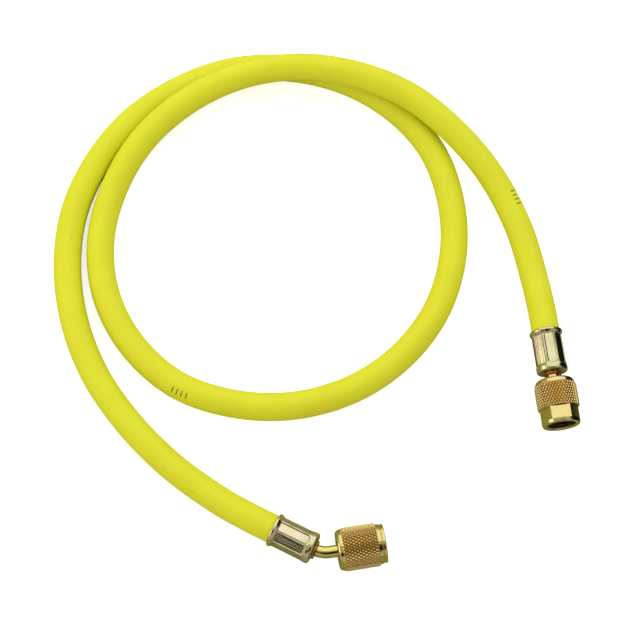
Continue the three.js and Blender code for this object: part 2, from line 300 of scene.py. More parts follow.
def turned(name: str, outline: Outline, sides: int, path: Path = BENCH) -> bpy.types.Object:
    """Turns a closed outline about a path. Its UV map runs along the path and round it.

    Args:
        name: the piece's name.
        outline: distances along the path and radii, out along the outside and back inside.
        sides: how many flat sides stand for a round.
        path: the line to turn about.

    Returns:
        The new piece, linked to the scene.
    """
    largest = max(radius for _, radius in outline)
    vertices = []
    for distance, radius in outline:
        section = path.at(distance)
        for side in range(sides):
            angle = 2 * math.pi * side / sides
            around = Vector((0, math.sin(angle), -math.cos(angle)))
            vertices.append(section @ (around * radius))
    faces, corners = [], []
    for ring, (distance, _) in enumerate(outline):
        following = (ring + 1) % len(outline)
        next_distance = outline[following][0]
        for side in range(sides):
            beside = (side + 1) % sides
            faces.append((
                ring * sides + side,
                ring * sides + beside,
                following * sides + beside,
                following * sides + side,
            ))
            around = [2 * math.pi * largest * turn / sides for turn in (side, side + 1)]
            corners += [
                distance, around[0], distance, around[1],
                next_distance, around[1], next_distance, around[0],
            ]
    mesh = bpy.data.meshes.new(name)
    mesh.from_pydata(vertices, [], faces)
    mesh.uv_layers.new(name=TURNING_MAP).data.foreach_set("uv", corners)
    if any(radius == 0 for _, radius in outline):
        close_poles(mesh)
    piece = bpy.data.objects.new(name, mesh)
    bpy.context.scene.collection.objects.link(piece)
    return piece


def close_poles(mesh: bpy.types.Mesh) -> None:
    """Joins the points that a turned mesh has on its own axis.

    Args:
        mesh: the mesh.
    """
    work = bmesh.new()
    work.from_mesh(mesh)
    bmesh.ops.remove_doubles(work, verts=work.verts, dist=WELD)
    work.to_mesh(mesh)
    work.free()


def soften(piece: bpy.types.Object, sharp_from: float = math.radians(32)) -> None:
    """Shades a piece smooth, apart from edges sharper than an angle."""
    piece.data.shade_smooth()
    piece.data.set_sharp_from_angle(angle=sharp_from)


def place(piece: bpy.types.Object, frame_at: Matrix) -> None:
    """Moves a piece's mesh into a frame and leaves its object at the origin."""
    piece.data.transform(frame_at)
    piece.data.update()


class NodeTree:
    """Adds nodes to a tree and joins them: an input takes a value, a node or a socket."""

    def __init__(self, tree: bpy.types.NodeTree) -> None:
        """Starts on an existing tree."""
        self.tree = tree

    def add(
        self,
        kind: str,
        inputs: Mapping[str | int, object] | None = None,
        **settings: object,
    ) -> bpy.types.Node:
        """Adds a node.

        Args:
            kind: the node's type.
            inputs: what feeds its inputs, by their names or numbers.
            settings: its own properties.

        Returns:
            The new node.
        """
        node = self.tree.nodes.new(kind)
        for name, value in settings.items():
            setattr(node, name, value)
        for key, value in (inputs or {}).items():
            self.feed(node.inputs[key], value)
        return node

    def feed(self, socket: bpy.types.NodeSocket, value: object) -> None:
        """Joins something to an input, or sets the input's own value.

        Args:
            socket: the input.
            value: a node, a socket or a plain value.
        """
        if isinstance(value, bpy.types.Node):
            value = value.outputs[0]
        if isinstance(value, bpy.types.NodeSocket):
            self.tree.links.new(value, socket)
        else:
            socket.default_value = value

    def math(self, operation: str, *values: object) -> bpy.types.NodeSocket:
        """Adds a Math node.

        Args:
            operation: what it does.
            values: what feeds its inputs.

        Returns:
            Its result.
        """
        return self.add(
            "ShaderNodeMath", dict(enumerate(values)), operation=operation
        ).outputs[0]

    def total(self, *values: object) -> bpy.types.NodeSocket:
        """Adds up several values.

        Args:
            values: sockets or numbers.

        Returns:
            Their sum.
        """
        result = values[0]
        for value in values[1:]:
            result = self.math("ADD", result, value)
        return result

    def product(self, *values: object) -> bpy.types.NodeSocket:
        """Multiplies several values.

        Args:
            values: sockets or numbers.

        Returns:
            Their product.
        """
        result = values[0]
        for value in values[1:]:
            result = self.math("MULTIPLY", result, value)
        return result

    def ramp(self, value: object, low: object, high: object) -> bpy.types.NodeSocket:
        """Adds a smooth step.

        Args:
            value: what is compared.
            low: where the step starts.
            high: where it ends.

        Returns:
            0 below low, 1 above high, and a smooth rise between them.
        """
        return self.add(
            "ShaderNodeMapRange",
            {"Value": value, "From Min": low, "From Max": high},
            interpolation_type="SMOOTHSTEP",
        ).outputs[0]

    def mixed(self, share: object, first: object, second: object) -> bpy.types.NodeSocket:
        """Mixes two colours.

        Args:
            share: how much of the second there is, from 0 to 1.
            first: the first colour.
            second: the second colour.

        Returns:
            The mixed colour.
        """
        node = self.add("ShaderNodeMix", data_type="RGBA")
        for socket, value in zip((0, 6, 7), (share, first, second), strict=True):
            self.feed(node.inputs[socket], value)
        return node.outputs[2]


class ShapeRule(NodeTree):
    """A Geometry Nodes tree that reshapes a turned piece. Its sizes are named inputs."""

    def __init__(self, name: str, sizes: Sequence[str]) -> None:
        """Starts the tree, and splits the place of each point into its parts.

        Args:
            name: the tree's name.
            sizes: the names of its inputs.
        """
        super().__init__(bpy.data.node_groups.new(name, "GeometryNodeTree"))
        sockets = self.tree.interface
        sockets.new_socket("Geometry", in_out="INPUT", socket_type="NodeSocketGeometry")
        sockets.new_socket("Geometry", in_out="OUTPUT", socket_type="NodeSocketGeometry")
        sockets.new_socket("Material", in_out="INPUT", socket_type="NodeSocketMaterial")
        for size in sizes:
            sockets.new_socket(size, in_out="INPUT", socket_type="NodeSocketFloat")
        self.given = self.add("NodeGroupInput").outputs
        parts = self.add("ShaderNodeSeparateXYZ", {0: self.add("GeometryNodeInputPosition")})
        self.along, self.left, self.up = parts.outputs
        self.radius = self.math(
            "SQRT", self.total(self.product(self.left, self.left), self.product(self.up, self.up))
        )
        # 0 at the top, and growing towards the left.
        self.angle = self.math("ARCTAN2", self.left, self.up)

    def within(self, low: object, high: object, soft: object) -> bpy.types.NodeSocket:
        """Masks a stretch of the piece.

        Args:
            low: where it starts.
            high: where it ends.
            soft: over what distance the mask fades, inside its ends.

        Returns:
            1 in the stretch and 0 outside it.
        """
        rising = self.ramp(self.along, self.math("SUBTRACT", low, EDGE), self.total(low, soft))
        falling = self.ramp(self.along, self.math("SUBTRACT", high, soft), self.total(high, EDGE))
        return self.product(rising, self.math("SUBTRACT", 1.0, falling))

    def finish(self, radius: object, shaped: bpy.types.NodeSocket | None = None) -> None:
        """Moves each point to its new radius and ends the tree.

        Args:
            radius: the new distance of each point from the piece's axis.
            shaped: the geometry to move, if it isn't the tree's own input.
        """
        scale = self.math("DIVIDE", radius, self.radius)
        place = self.add("ShaderNodeCombineXYZ", {
            0: self.along,
            1: self.product(self.left, scale),
            2: self.product(self.up, scale),
        })
        moved = self.add("GeometryNodeSetPosition", {
            "Geometry": shaped or self.given["Geometry"], "Position": place,
        })
        real = self.add("GeometryNodeRealizeInstances", {0: self.settled(moved)})
        dressed = self.add("GeometryNodeSetMaterial", {
            "Geometry": real, "Material": self.given["Material"],
        })
        self.add("NodeGroupOutput", {0: dressed})

    def settled(self, moved: bpy.types.Node) -> bpy.types.Node:
        """Gives the moved geometry as it is."""
        return moved

    def shape(
        self,
        piece: bpy.types.Object,
        material: bpy.types.Material,
        sizes: Mapping[str, float],
    ) -> None:
        """Reshapes a piece and leaves it as a plain mesh.

        Args:
            piece: a turned piece that still lies along +X.
            material: its finish.
            sizes: the values of the tree's inputs.
        """
        modifier = piece.modifiers.new(self.tree.name, "NODES")
        modifier.node_group = self.tree
        values = {**sizes, "Material": material}
        for socket in self.tree.interface.items_tree:
            if socket.in_out == "INPUT" and socket.name in values:
                modifier[socket.identifier] = values[socket.name]
        graph = bpy.context.evaluated_depsgraph_get()
        shaped = bpy.data.meshes.new_from_object(piece.evaluated_get(graph), depsgraph=graph)
        piece.modifiers.remove(modifier)
        plain, piece.data = piece.data, shaped
        bpy.data.meshes.remove(plain)


class PressedFlats(ShapeRule):
    """Flats round a turned body, with a rib between each two, or sharp corners.

    The rib's cleft starts at CLEFT_START, and a crease of painted shade reaches CREASE_REACH to
    each side of the rib's foot: both are shares of the way from a flat's middle line to its edge.
    """

    CLEFT_START = 0.95
    CREASE_REACH = 0.07

    def __init__(self) -> None:
        """Builds the tree."""
        super().__init__("pressed_flats", (
            "Flats", "Turn", "Flat Radius", "Rib Radius", "Rib Share", "Outside",
            "Cleft", "Start", "End", "Bow", "Softness",
        ))
        given = self.given
        sector = self.math("DIVIDE", 2 * math.pi, given["Flats"])
        turns = self.math("DIVIDE", self.math("SUBTRACT", self.angle, given["Turn"]), sector)
        share = self.math("SUBTRACT", self.math("FRACT", self.total(turns, 0.5)), 0.5)
        flat = self.math(
            "DIVIDE", given["Flat Radius"], self.math("COSINE", self.product(share, sector))
        )
        # 0 at a flat's middle line and 1 at its edges.
        edge = self.product(self.math("ABSOLUTE", share), 2.0)
        rib_start = self.math("SUBTRACT", 1.0, self.product(given["Rib Share"], 2.0))
        rib = self.ramp(edge, rib_start, self.math("SUBTRACT", 1.0, given["Rib Share"]))
        cleft = self.product(self.ramp(edge, self.CLEFT_START, 1.0), given["Cleft"])
        rib = self.math("SUBTRACT", rib, cleft)
        ribbed = self.total(
            flat, self.product(rib, self.math("SUBTRACT", given["Rib Radius"], flat))
        )
        target = self.math("MINIMUM", self.radius, ribbed)
        bow = self.product(given["Bow"], self.math("SUBTRACT", 1.0, self.product(edge, edge)))
        pressed = self.product(
            self.within(given["Start"], self.total(given["End"], bow), given["Softness"]),
            self.math("GREATER_THAN", self.radius, given["Outside"]),
        )
        step = self.product(pressed, self.math("SUBTRACT", target, self.radius))
        # Painted shade: the crease mask darkens the foot of each rib and its cleft.
        off_foot = self.math("ABSOLUTE", self.math("SUBTRACT", edge, rib_start))
        foot = self.math("SUBTRACT", 1.0, self.math("DIVIDE", off_foot, self.CREASE_REACH))
        marked = self.add("GeometryNodeStoreNamedAttribute", {
            "Geometry": given["Geometry"],
            "Name": CREASE_SHADE,
            "Value": self.product(pressed, self.math("MAXIMUM", foot, cleft)),
        }, data_type="FLOAT", domain="POINT")
        self.finish(self.total(self.radius, step), marked.outputs["Geometry"])


class KnurlDiamonds(ShapeRule):
    """Diamonds cut into a barrel by two crossing sets of grooves.

    At the knurl's ends they still stand END_HEIGHT of their height. On their tips the groove
    mask is 1 less TIP_CLEARNESS.
    """

    END_HEIGHT = 0.35
    TIP_CLEARNESS = 0.75

    def __init__(self) -> None:
        """Builds the tree."""
        super().__init__("knurl_diamonds", (
            "Start", "End", "Around", "Row Step", "Depth", "Flat Share", "Chamfer", "Outside",
        ))
        given = self.given
        rows = self.math("DIVIDE", self.math("SUBTRACT", self.along, given["Start"]), (
            self.product(given["Row Step"], 2.0)
        ))
        across = self.product(self.angle, self.math("DIVIDE", given["Around"], 2 * math.pi))
        # How near each point is to the grooves that cross at the ends of its diamond.
        right_cut = self.math("PINGPONG", self.total(rows, across), 0.5)
        left_cut = self.math("PINGPONG", self.math("SUBTRACT", rows, across), 0.5)
        nearer = self.product(self.math("MAXIMUM", right_cut, left_cut), 2.0)
        slope = self.math("DIVIDE", self.math("SUBTRACT", 1.0, nearer), (
            self.math("SUBTRACT", 1.0, given["Flat Share"])
        ))
        relief = self.math("MINIMUM", slope, 1.0)
        for distance in (
            self.math("SUBTRACT", self.along, given["Start"]),
            self.math("SUBTRACT", given["End"], self.along),
        ):
            room = self.total(self.math("DIVIDE", distance, given["Chamfer"]), self.END_HEIGHT)
            relief = self.math("MINIMUM", relief, room)
        knurled = self.product(
            self.within(given["Start"], given["End"], EDGE),
            self.math("GREATER_THAN", self.radius, given["Outside"]),
        )
        clear = self.product(relief, self.TIP_CLEARNESS)
        groove = self.product(knurled, self.math("SUBTRACT", 1.0, clear))
        # The groove mask tints the knurl, and the brass material paints shade into its deep
        # parts.
        marked = self.add("GeometryNodeStoreNamedAttribute", {
            "Geometry": self.given["Geometry"], "Name": GROOVE, "Value": groove,
        }, data_type="FLOAT", domain="POINT")
        rise = self.product(knurled, relief, given["Depth"])
        self.finish(self.total(self.radius, rise), marked.outputs["Geometry"])

    def settled(self, moved: bpy.types.Node) -> bpy.types.Node:
        """Splits each cell along its groove.

        Args:
            moved: the node that gives the moved geometry.

        Returns:
            The node that gives it in triangles.
        """
        return self.add(
            "GeometryNodeTriangulate", {"Mesh": moved}, quad_method="SHORTEST_DIAGONAL"
        )


class ThreadTurns(ShapeRule):
    """A right-hand thread in a bore."""

    def __init__(self) -> None:
        """Builds the tree."""
        super().__init__("thread_turns", ("Start", "End", "Pitch", "Depth", "Inside", "Outside"))
        given = self.given
        turns = self.total(
            self.math("DIVIDE", self.along, given["Pitch"]),
            self.math("DIVIDE", self.angle, 2 * math.pi),
        )
        wave = self.product(self.math("PINGPONG", turns, 0.5), 2.0)
        cut = self.ramp(wave, 0.15, 0.85)
        bore = self.product(
            self.math("LESS_THAN", self.radius, given["Outside"]),
            self.math("GREATER_THAN", self.radius, given["Inside"]),
        )
        threaded = self.product(
            self.within(given["Start"], given["End"], given["Depth"]), bore, cut, given["Depth"]
        )
        # The bore mask, which the brass material darkens nearly to black as painted shade.
        marked = self.add("GeometryNodeStoreNamedAttribute", {
            "Geometry": self.given["Geometry"], "Name": THREAD, "Value": bore,
        }, data_type="FLOAT", domain="POINT")
        self.finish(self.total(self.radius, threaded), marked.outputs["Geometry"])


def effect_group(
    name: str, inputs: Mapping[str, object], outputs: Sequence[str]
) -> tuple[NodeTree, bpy.types.Node]:
    """Starts a shader effect.

    Args:
        name: the effect's name.
        inputs: its inputs' names and first values.
        outputs: the names of the values that it puts out.

    Returns:
        The effect's tree and its input node.
    """
    tree = bpy.data.node_groups.new(name, "ShaderNodeTree")
    for label, value in inputs.items():
        kind = "NodeSocketVector" if isinstance(value, tuple) else "NodeSocketFloat"
        socket = tree.interface.new_socket(label, in_out="INPUT", socket_type=kind)
        socket.default_value = value
    for label in outputs:
        tree.interface.new_socket(label, in_out="OUTPUT", socket_type="NodeSocketFloat")
    effect = NodeTree(tree)
    return effect, effect.add("NodeGroupInput")


@cache
def cloudy_patches() -> bpy.types.NodeTree:
    """Builds soft patches, for stains, mottled dye and uneven plating.

    Returns:
        The effect.
    """
    effect, given = effect_group(
        "cloudy_patches", {"Place": (0, 0, 0), "Scale": 100.0, "Contrast": 0.3}, ["Mask"]
    )
    noise = effect.add(
        "ShaderNodeTexNoise",
        {"Vector": given.outputs["Place"], "Scale": given.outputs["Scale"], "Detail": 4.0},
    )
    low = effect.total(given.outputs["Contrast"], 0.05)
    high = effect.math("SUBTRACT", 0.95, given.outputs["Contrast"])
    effect.add("NodeGroupOutput", {0: effect.ramp(noise, low, high)})
    return effect.tree


@cache
def turning_marks() -> bpy.types.NodeTree:
    """Builds the fine lines that a lathe leaves round a piece, or a die along it.

    Returns:
        The effect.
    """
    effect, given = effect_group(
        "turning_marks", {"Turning": (0, 0, 0), "Fineness": 4000.0, "Length": 40.0}, ["Height"]
    )
    place = effect.add("ShaderNodeSeparateXYZ", {0: given.outputs["Turning"]})
    stretched = effect.add("ShaderNodeCombineXYZ", {
        0: effect.product(place.outputs[0], given.outputs["Fineness"]),
        1: effect.product(place.outputs[1], given.outputs["Length"]),
    })
    noise = effect.add("ShaderNodeTexNoise", {"Vector": stretched, "Scale": 1.0, "Detail": 2.0})
    effect.add("NodeGroupOutput", {0: noise})
    return effect.tree


@cache
def speck() -> bpy.types.NodeTree:
    """Builds one small round spot on a turned piece.

    Returns:
        The effect.
    """
    effect, given = effect_group(
        "speck", {"Turning": (0, 0, 0), "Middle": (0, 0, 0), "Radius": 0.0005}, ["Mask"]
    )
    away = effect.add("ShaderNodeVectorMath", {
        0: given.outputs["Turning"], 1: given.outputs["Middle"],
    }, operation="DISTANCE")
    core = effect.product(given.outputs["Radius"], 0.3)
    fade = effect.ramp(away.outputs["Value"], core, given.outputs["Radius"])
    effect.add("NodeGroupOutput", {0: effect.math("SUBTRACT", 1.0, fade)})
    return effect.tree


@cache
def ink_bars() -> bpy.types.NodeTree:
    """Builds a row of plain printed bars along a hose.

    Returns:
        The effect.
    """
    effect, given = effect_group(
        "ink_bars",
        {
            "Turning": (0, 0, 0), "Middle": (0, 0, 0), "Bars": 4.0, "Pitch": 0.0018,
            "Width": 0.0005, "Height": 0.0026,
        },
        ["Mask"],
    )
    out = given.outputs
    away = effect.add(
        "ShaderNodeVectorMath", {0: out["Turning"], 1: out["Middle"]}, operation="SUBTRACT"
    )
    place = effect.add("ShaderNodeSeparateXYZ", {0: away})
    along, around = place.outputs[0], effect.math("ABSOLUTE", place.outputs[1])
    half_row = effect.product(out["Bars"], out["Pitch"], 0.5)
    in_row = effect.math("LESS_THAN", effect.math("ABSOLUTE", along), half_row)
    # With an even number of bars, none is at the row's middle.
    cell = effect.math("FRACT", effect.math("DIVIDE", along, out["Pitch"]))
    off = effect.product(
        effect.math("ABSOLUTE", effect.math("SUBTRACT", cell, 0.5)), out["Pitch"]
    )
    on_bar = effect.math("LESS_THAN", off, effect.product(out["Width"], 0.5))
    in_height = effect.math("LESS_THAN", around, effect.product(out["Height"], 0.5))
    effect.add("NodeGroupOutput", {0: effect.product(in_row, on_bar, in_height)})
    return effect.tree


class Surface(NodeTree):
    """A material: a Principled shader and the nodes that feed it."""

    def __init__(self, name: str, constants: Mapping[str, object]) -> None:
        """Starts the material.

        Args:
            name: its name.
            constants: the shader's values that are the same all over.
        """
        self.material = bpy.data.materials.new(name)
        self.material.use_nodes = True
        super().__init__(self.material.node_tree)
        self.tree.nodes.clear()
        self.shader = self.add("ShaderNodeBsdfPrincipled", constants)
        self.add("ShaderNodeOutputMaterial", {"Surface": self.shader})
        self.place = self.add("ShaderNodeTexCoord").outputs["Object"]
        self.turning = self.add("ShaderNodeUVMap", uv_map=TURNING_MAP).outputs[0]

    def effect(
        self, group: bpy.types.NodeTree, inputs: Mapping[str, object]
    ) -> bpy.types.NodeSocket:
        """Places a shared effect with this material's values."""
        return self.add("ShaderNodeGroup", inputs, node_tree=group).outputs[0]

    def patches(self, scale: float, contrast: float) -> bpy.types.NodeSocket:
        """Places cloudy patches on the piece.

        Args:
            scale: how many of them there are in a metre.
            contrast: how sharply they end, from 0 to 0.45.

        Returns:
            Their mask.
        """
        return self.effect(
            cloudy_patches(), {"Place": self.place, "Scale": scale, "Contrast": contrast}
        )

    def put(self, **inputs: object) -> None:
        """Feeds the shader's inputs: underscores in their names stand for spaces."""
        for name, value in inputs.items():
            self.feed(self.shader.inputs[name.replace("_", " ")], value)

    def bump(self, height: object, depth: float, strength: float) -> None:
        """Roughens the surface.

        Args:
            height: the heights, from 0 to 1.
            depth: what a height of 1 stands for.
            strength: how strongly they show, from 0 to 1.
        """
        bump = self.add("ShaderNodeBump", {
            "Height": height, "Distance": depth, "Strength": strength,
        })
        self.put(Normal=bump)


def rgba(colour: Colour) -> tuple[float, float, float, float]:
    """Gives an opaque colour."""
    return (*colour, 1.0)


@dataclass(frozen=True)
class YellowRubber:
    """The hose's dyed rubber cover, with printed bars, specks and a little grime.

    Attributes:
        dye: its main colour.
        deep_dye: the colour of its darker patches.
        grime: the colour of specks and scuffs.
        ink: the colour of the printed bars.
        matt: the roughness where it is cleanest.
        hose_radius: the radius at which the marks are placed.
        marks: each row of bars: its distance along the hose, and its angle from the top.
        specks: each speck: its distance, its angle from the top and its radius.
    """

    dye: Colour = (0.74, 0.77, 0.018)
    deep_dye: Colour = (0.72, 0.71, 0.016)
    grime: Colour = (0.42, 0.22, 0.03)
    ink: Colour = (0.10, 0.045, 0.01)
    matt: float = 0.42
    hose_radius: float = 0.00535
    marks: tuple[tuple[float, float], ...] = ((0.5457, 40), (0.8414, 35))
    specks: tuple[tuple[float, float, float], ...] = (
        (0.1626, -21, 0.0005), (0.1253, 36, 0.0004), (0.1159, -22, 0.0004),
        (0.0838, 66, 0.0005), (0.0756, 80, 0.0005), (0.0599, 39, 0.0005),
        (0.0457, 40, 0.0004), (0.0355, -33, 0.0004), (0.5674, 67, 0.0005),
    )

    def spot(self, distance: float, from_top: float) -> tuple[float, float, float]:
        """Gives a place on the hose in its turning map: an angle to the left is positive."""
        return (distance, (math.pi - math.radians(from_top)) * self.hose_radius, 0.0)

    def make(self) -> bpy.types.Material:
        """Builds the material.

        Returns:
            The material.
        """
        surface = Surface("yellow_rubber", {"Specular IOR Level": 0.3, "IOR": 1.5})
        colour = surface.mixed(
            surface.patches(70.0, 0.2), rgba(self.dye), rgba(self.deep_dye)
        )
        fine = surface.patches(900.0, 0.25)
        colour = surface.mixed(
            surface.product(fine, 0.12), colour, rgba(self.deep_dye)
        )
        grime_and_crease_shade = 0.0
        for distance, from_top, radius in self.specks:
            spot = surface.effect(speck(), {
                "Turning": surface.turning, "Middle": self.spot(distance, from_top),
                "Radius": radius,
            })
            grime_and_crease_shade = surface.math("MAXIMUM", grime_and_crease_shade, spot)
        colour = surface.mixed(surface.product(grime_and_crease_shade, 0.55), colour, rgba(self.grime))
        print_mask = 0.0
        for distance, from_top in self.marks:
            bars = surface.effect(ink_bars(), {
                "Turning": surface.turning, "Middle": self.spot(distance, from_top),
            })
            print_mask = surface.math("MAXIMUM", print_mask, bars)
        worn = surface.product(print_mask, surface.math("SUBTRACT", 0.95, (
            surface.product(fine, 0.35)
        )))
        colour = surface.mixed(worn, colour, rgba(self.ink))
        rough = surface.total(surface.product(surface.patches(260.0, 0.2), 0.12), self.matt)
        surface.put(Base_Color=colour, Roughness=rough)
        surface.bump(surface.patches(2600.0, 0.1), 0.00004, 0.25)
        return surface.material


@dataclass(frozen=True)
class Brass:
    """Turned brass, bright where it is smooth, deeper on the knurl, with painted shade in the
    knurl's grooves and in the bore.

    Attributes:
        name: the finish's name.
        metal: its main colour.
        warm: the colour of its warmer patches.
        knurl: the colour of the knurl's tips.
        groove: the colour of the painted shade in the knurl's grooves.
        thread: the colour of the painted shade in the threaded bore.
        stain: the colour that heat has left.
        stained: where along the piece that stain starts and ends.
        stain_edge: how soft its edges are.
        polish: the roughness of its smooth parts.
    """

    name: str = "turned_brass"
    metal: Colour = (0.74, 0.65, 0.31)
    warm: Colour = (0.72, 0.57, 0.23)
    knurl: Colour = (0.86, 0.66, 0.27)
    groove: Colour = (0.42, 0.22, 0.065)
    thread: Colour = (0.09, 0.045, 0.014)
    stain: Colour = (0.42, 0.11, 0.03)
    stained: tuple[float, float] | None = None
    stain_edge: float = 0.0002
    polish: float = 0.07

    def make(self) -> bpy.types.Material:
        """Builds the material.

        Returns:
            The material.
        """
        surface = Surface(self.name, {"Metallic": 1.0})
        colour = surface.mixed(surface.patches(420.0, 0.2), rgba(self.metal), rgba(self.warm))
        groove = surface.add("ShaderNodeAttribute", attribute_name=GROOVE).outputs["Fac"]
        thread = surface.add("ShaderNodeAttribute", attribute_name=THREAD).outputs["Fac"]
        colour = surface.mixed(surface.ramp(groove, 0.0, 0.25), colour, rgba(self.knurl))
        # Painted shade: the deep parts of the knurl's grooves are darkened towards the groove
        # colour.
        depth = surface.ramp(groove, 0.4, 1.0)
        colour = surface.mixed(surface.product(depth, 0.9), colour, rgba(self.groove))
        # Painted shade: the threaded bore is darkened nearly to black.
        colour = surface.mixed(surface.product(thread, 0.9), colour, rgba(self.thread))
        if self.stained:
            start, end = self.stained
            along = surface.add("ShaderNodeSeparateXYZ", {0: surface.turning}).outputs[0]
            fading = surface.ramp(along, end - self.stain_edge, end + 3 * self.stain_edge)
            stain = surface.product(
                surface.ramp(along, start - self.stain_edge, start + self.stain_edge),
                surface.math("SUBTRACT", 1.0, fading),
                surface.total(0.6, surface.product(surface.patches(900.0, 0.3), 0.4)),
            )
            colour = surface.mixed(stain, colour, rgba(self.stain))
        marks = surface.effect(turning_marks(), {"Turning": surface.turning})
        dull = surface.math("MAXIMUM", depth, thread)
        rough = surface.total(
            self.polish, surface.product(marks, 0.07), surface.product(dull, 0.25)
        )
        surface.put(Base_Color=colour, Roughness=rough)
        surface.bump(marks, 0.00002, 0.2)
        return surface.material


@dataclass(frozen=True)
class YellowPlating:
    """Bright zinc plating with a yellow film that shifts to pink and green, and painted shade in
    its creases.

    Attributes:
        film: its main colour.
        pink: the colour of its pink patches.
        green: the colour of its green patches.
        grime_and_crease_shade: the colour of the painted shade in its creases.
        polish: the roughness where it is clean.
    """

    film: Colour = (0.70, 0.65, 0.42)
    pink: Colour = (0.82, 0.64, 0.60)
    green: Colour = (0.50, 0.57, 0.26)
    grime_and_crease_shade: Colour = (0.07, 0.065, 0.03)
    polish: float = 0.06

    def make(self) -> bpy.types.Material:
        """Builds the material.

        Returns:
            The material.
        """
        surface = Surface("yellow_plating", {"Metallic": 1.0})
        colour = surface.mixed(surface.patches(140.0, 0.28), rgba(self.film), rgba(self.pink))
        colour = surface.mixed(
            surface.product(surface.patches(170.0, 0.34), 0.6), colour, rgba(self.green)
        )
        # Painted shade: the crease mask darkens the creases beside the ribs nearly to black.
        crease = surface.add("ShaderNodeAttribute", attribute_name=CREASE_SHADE).outputs["Fac"]
        grime_and_crease_shade = surface.ramp(crease, 0.1, 0.7)
        colour = surface.mixed(surface.product(grime_and_crease_shade, 0.9), colour, rgba(self.grime_and_crease_shade))
        marks = surface.effect(turning_marks(), {
            "Turning": surface.turning, "Fineness": 30.0, "Length": 1500.0,
        })
        rough = surface.total(self.polish, surface.product(surface.patches(800.0, 0.2), 0.08))
        surface.put(Base_Color=colour, Roughness=rough)
        surface.bump(marks, 0.00012, 0.8)
        return surface.material


@dataclass(frozen=True)
class BlackSeal:
    """The moulded black rubber of the washers.

    Attributes:
        rubber: its colour.
        dust: the colour of its paler patches.
    """

    rubber: Colour = (0.018, 0.018, 0.018)
    dust: Colour = (0.05, 0.048, 0.044)

    def make(self) -> bpy.types.Material:
        """Builds the material.

        Returns:
            The material.
        """
        surface = Surface("black_seal", {"Specular IOR Level": 0.4})
        colour = surface.mixed(surface.patches(900.0, 0.25), rgba(self.rubber), rgba(self.dust))
        rough = surface.total(0.5, surface.product(surface.patches(1500.0, 0.2), 0.2))
        surface.put(Base_Color=colour, Roughness=rough)
        surface.bump(surface.patches(4000.0, 0.1), 0.00003, 0.3)
        return surface.material


@dataclass(frozen=True)
class Workshop:
    """What every sub-assembly is made with: the finishes and the shape rules."""

    rubber: bpy.types.Material
    brass: bpy.types.Material
    stem_brass: bpy.types.Material
    plating: bpy.types.Material
    seal: bpy.types.Material
    flats: PressedFlats
    knurl: KnurlDiamonds
    thread: ThreadTurns

    @classmethod
    def open(cls) -> "Workshop":
        """Builds the finishes and the shape rules.

        Returns:
            The workshop.
        """
        return cls(
            YellowRubber().make(),
            Brass().make(),
            Brass(
                "stem_brass", metal=(0.72, 0.67, 0.27), warm=(0.70, 0.61, 0.22),
                stained=(0.0160, 0.0177),
            ).make(),
            YellowPlating().make(),
            BlackSeal().make(),
            PressedFlats(), KnurlDiamonds(), ThreadTurns(),
        )


def fit(
    piece: bpy.types.Object,
    material: bpy.types.Material,
    body: Body,
    node: str,
) -> bpy.types.Object:
    """Dresses a finished piece and puts it in its CAD node's place.

    Args:
        piece: the piece, in its place.
        material: its finish.
        body: the body that it rides on.
        node: the CAD node that it stands for.

    Returns:
        The piece.
    """
    piece.data.materials.clear()
    piece.data.materials.append(material)
    soften(piece)
    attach(piece, body.value)
    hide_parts(node)
    LOG.info("%s: %d faces, for %s", piece.name, len(piece.data.polygons), node)
    return piece


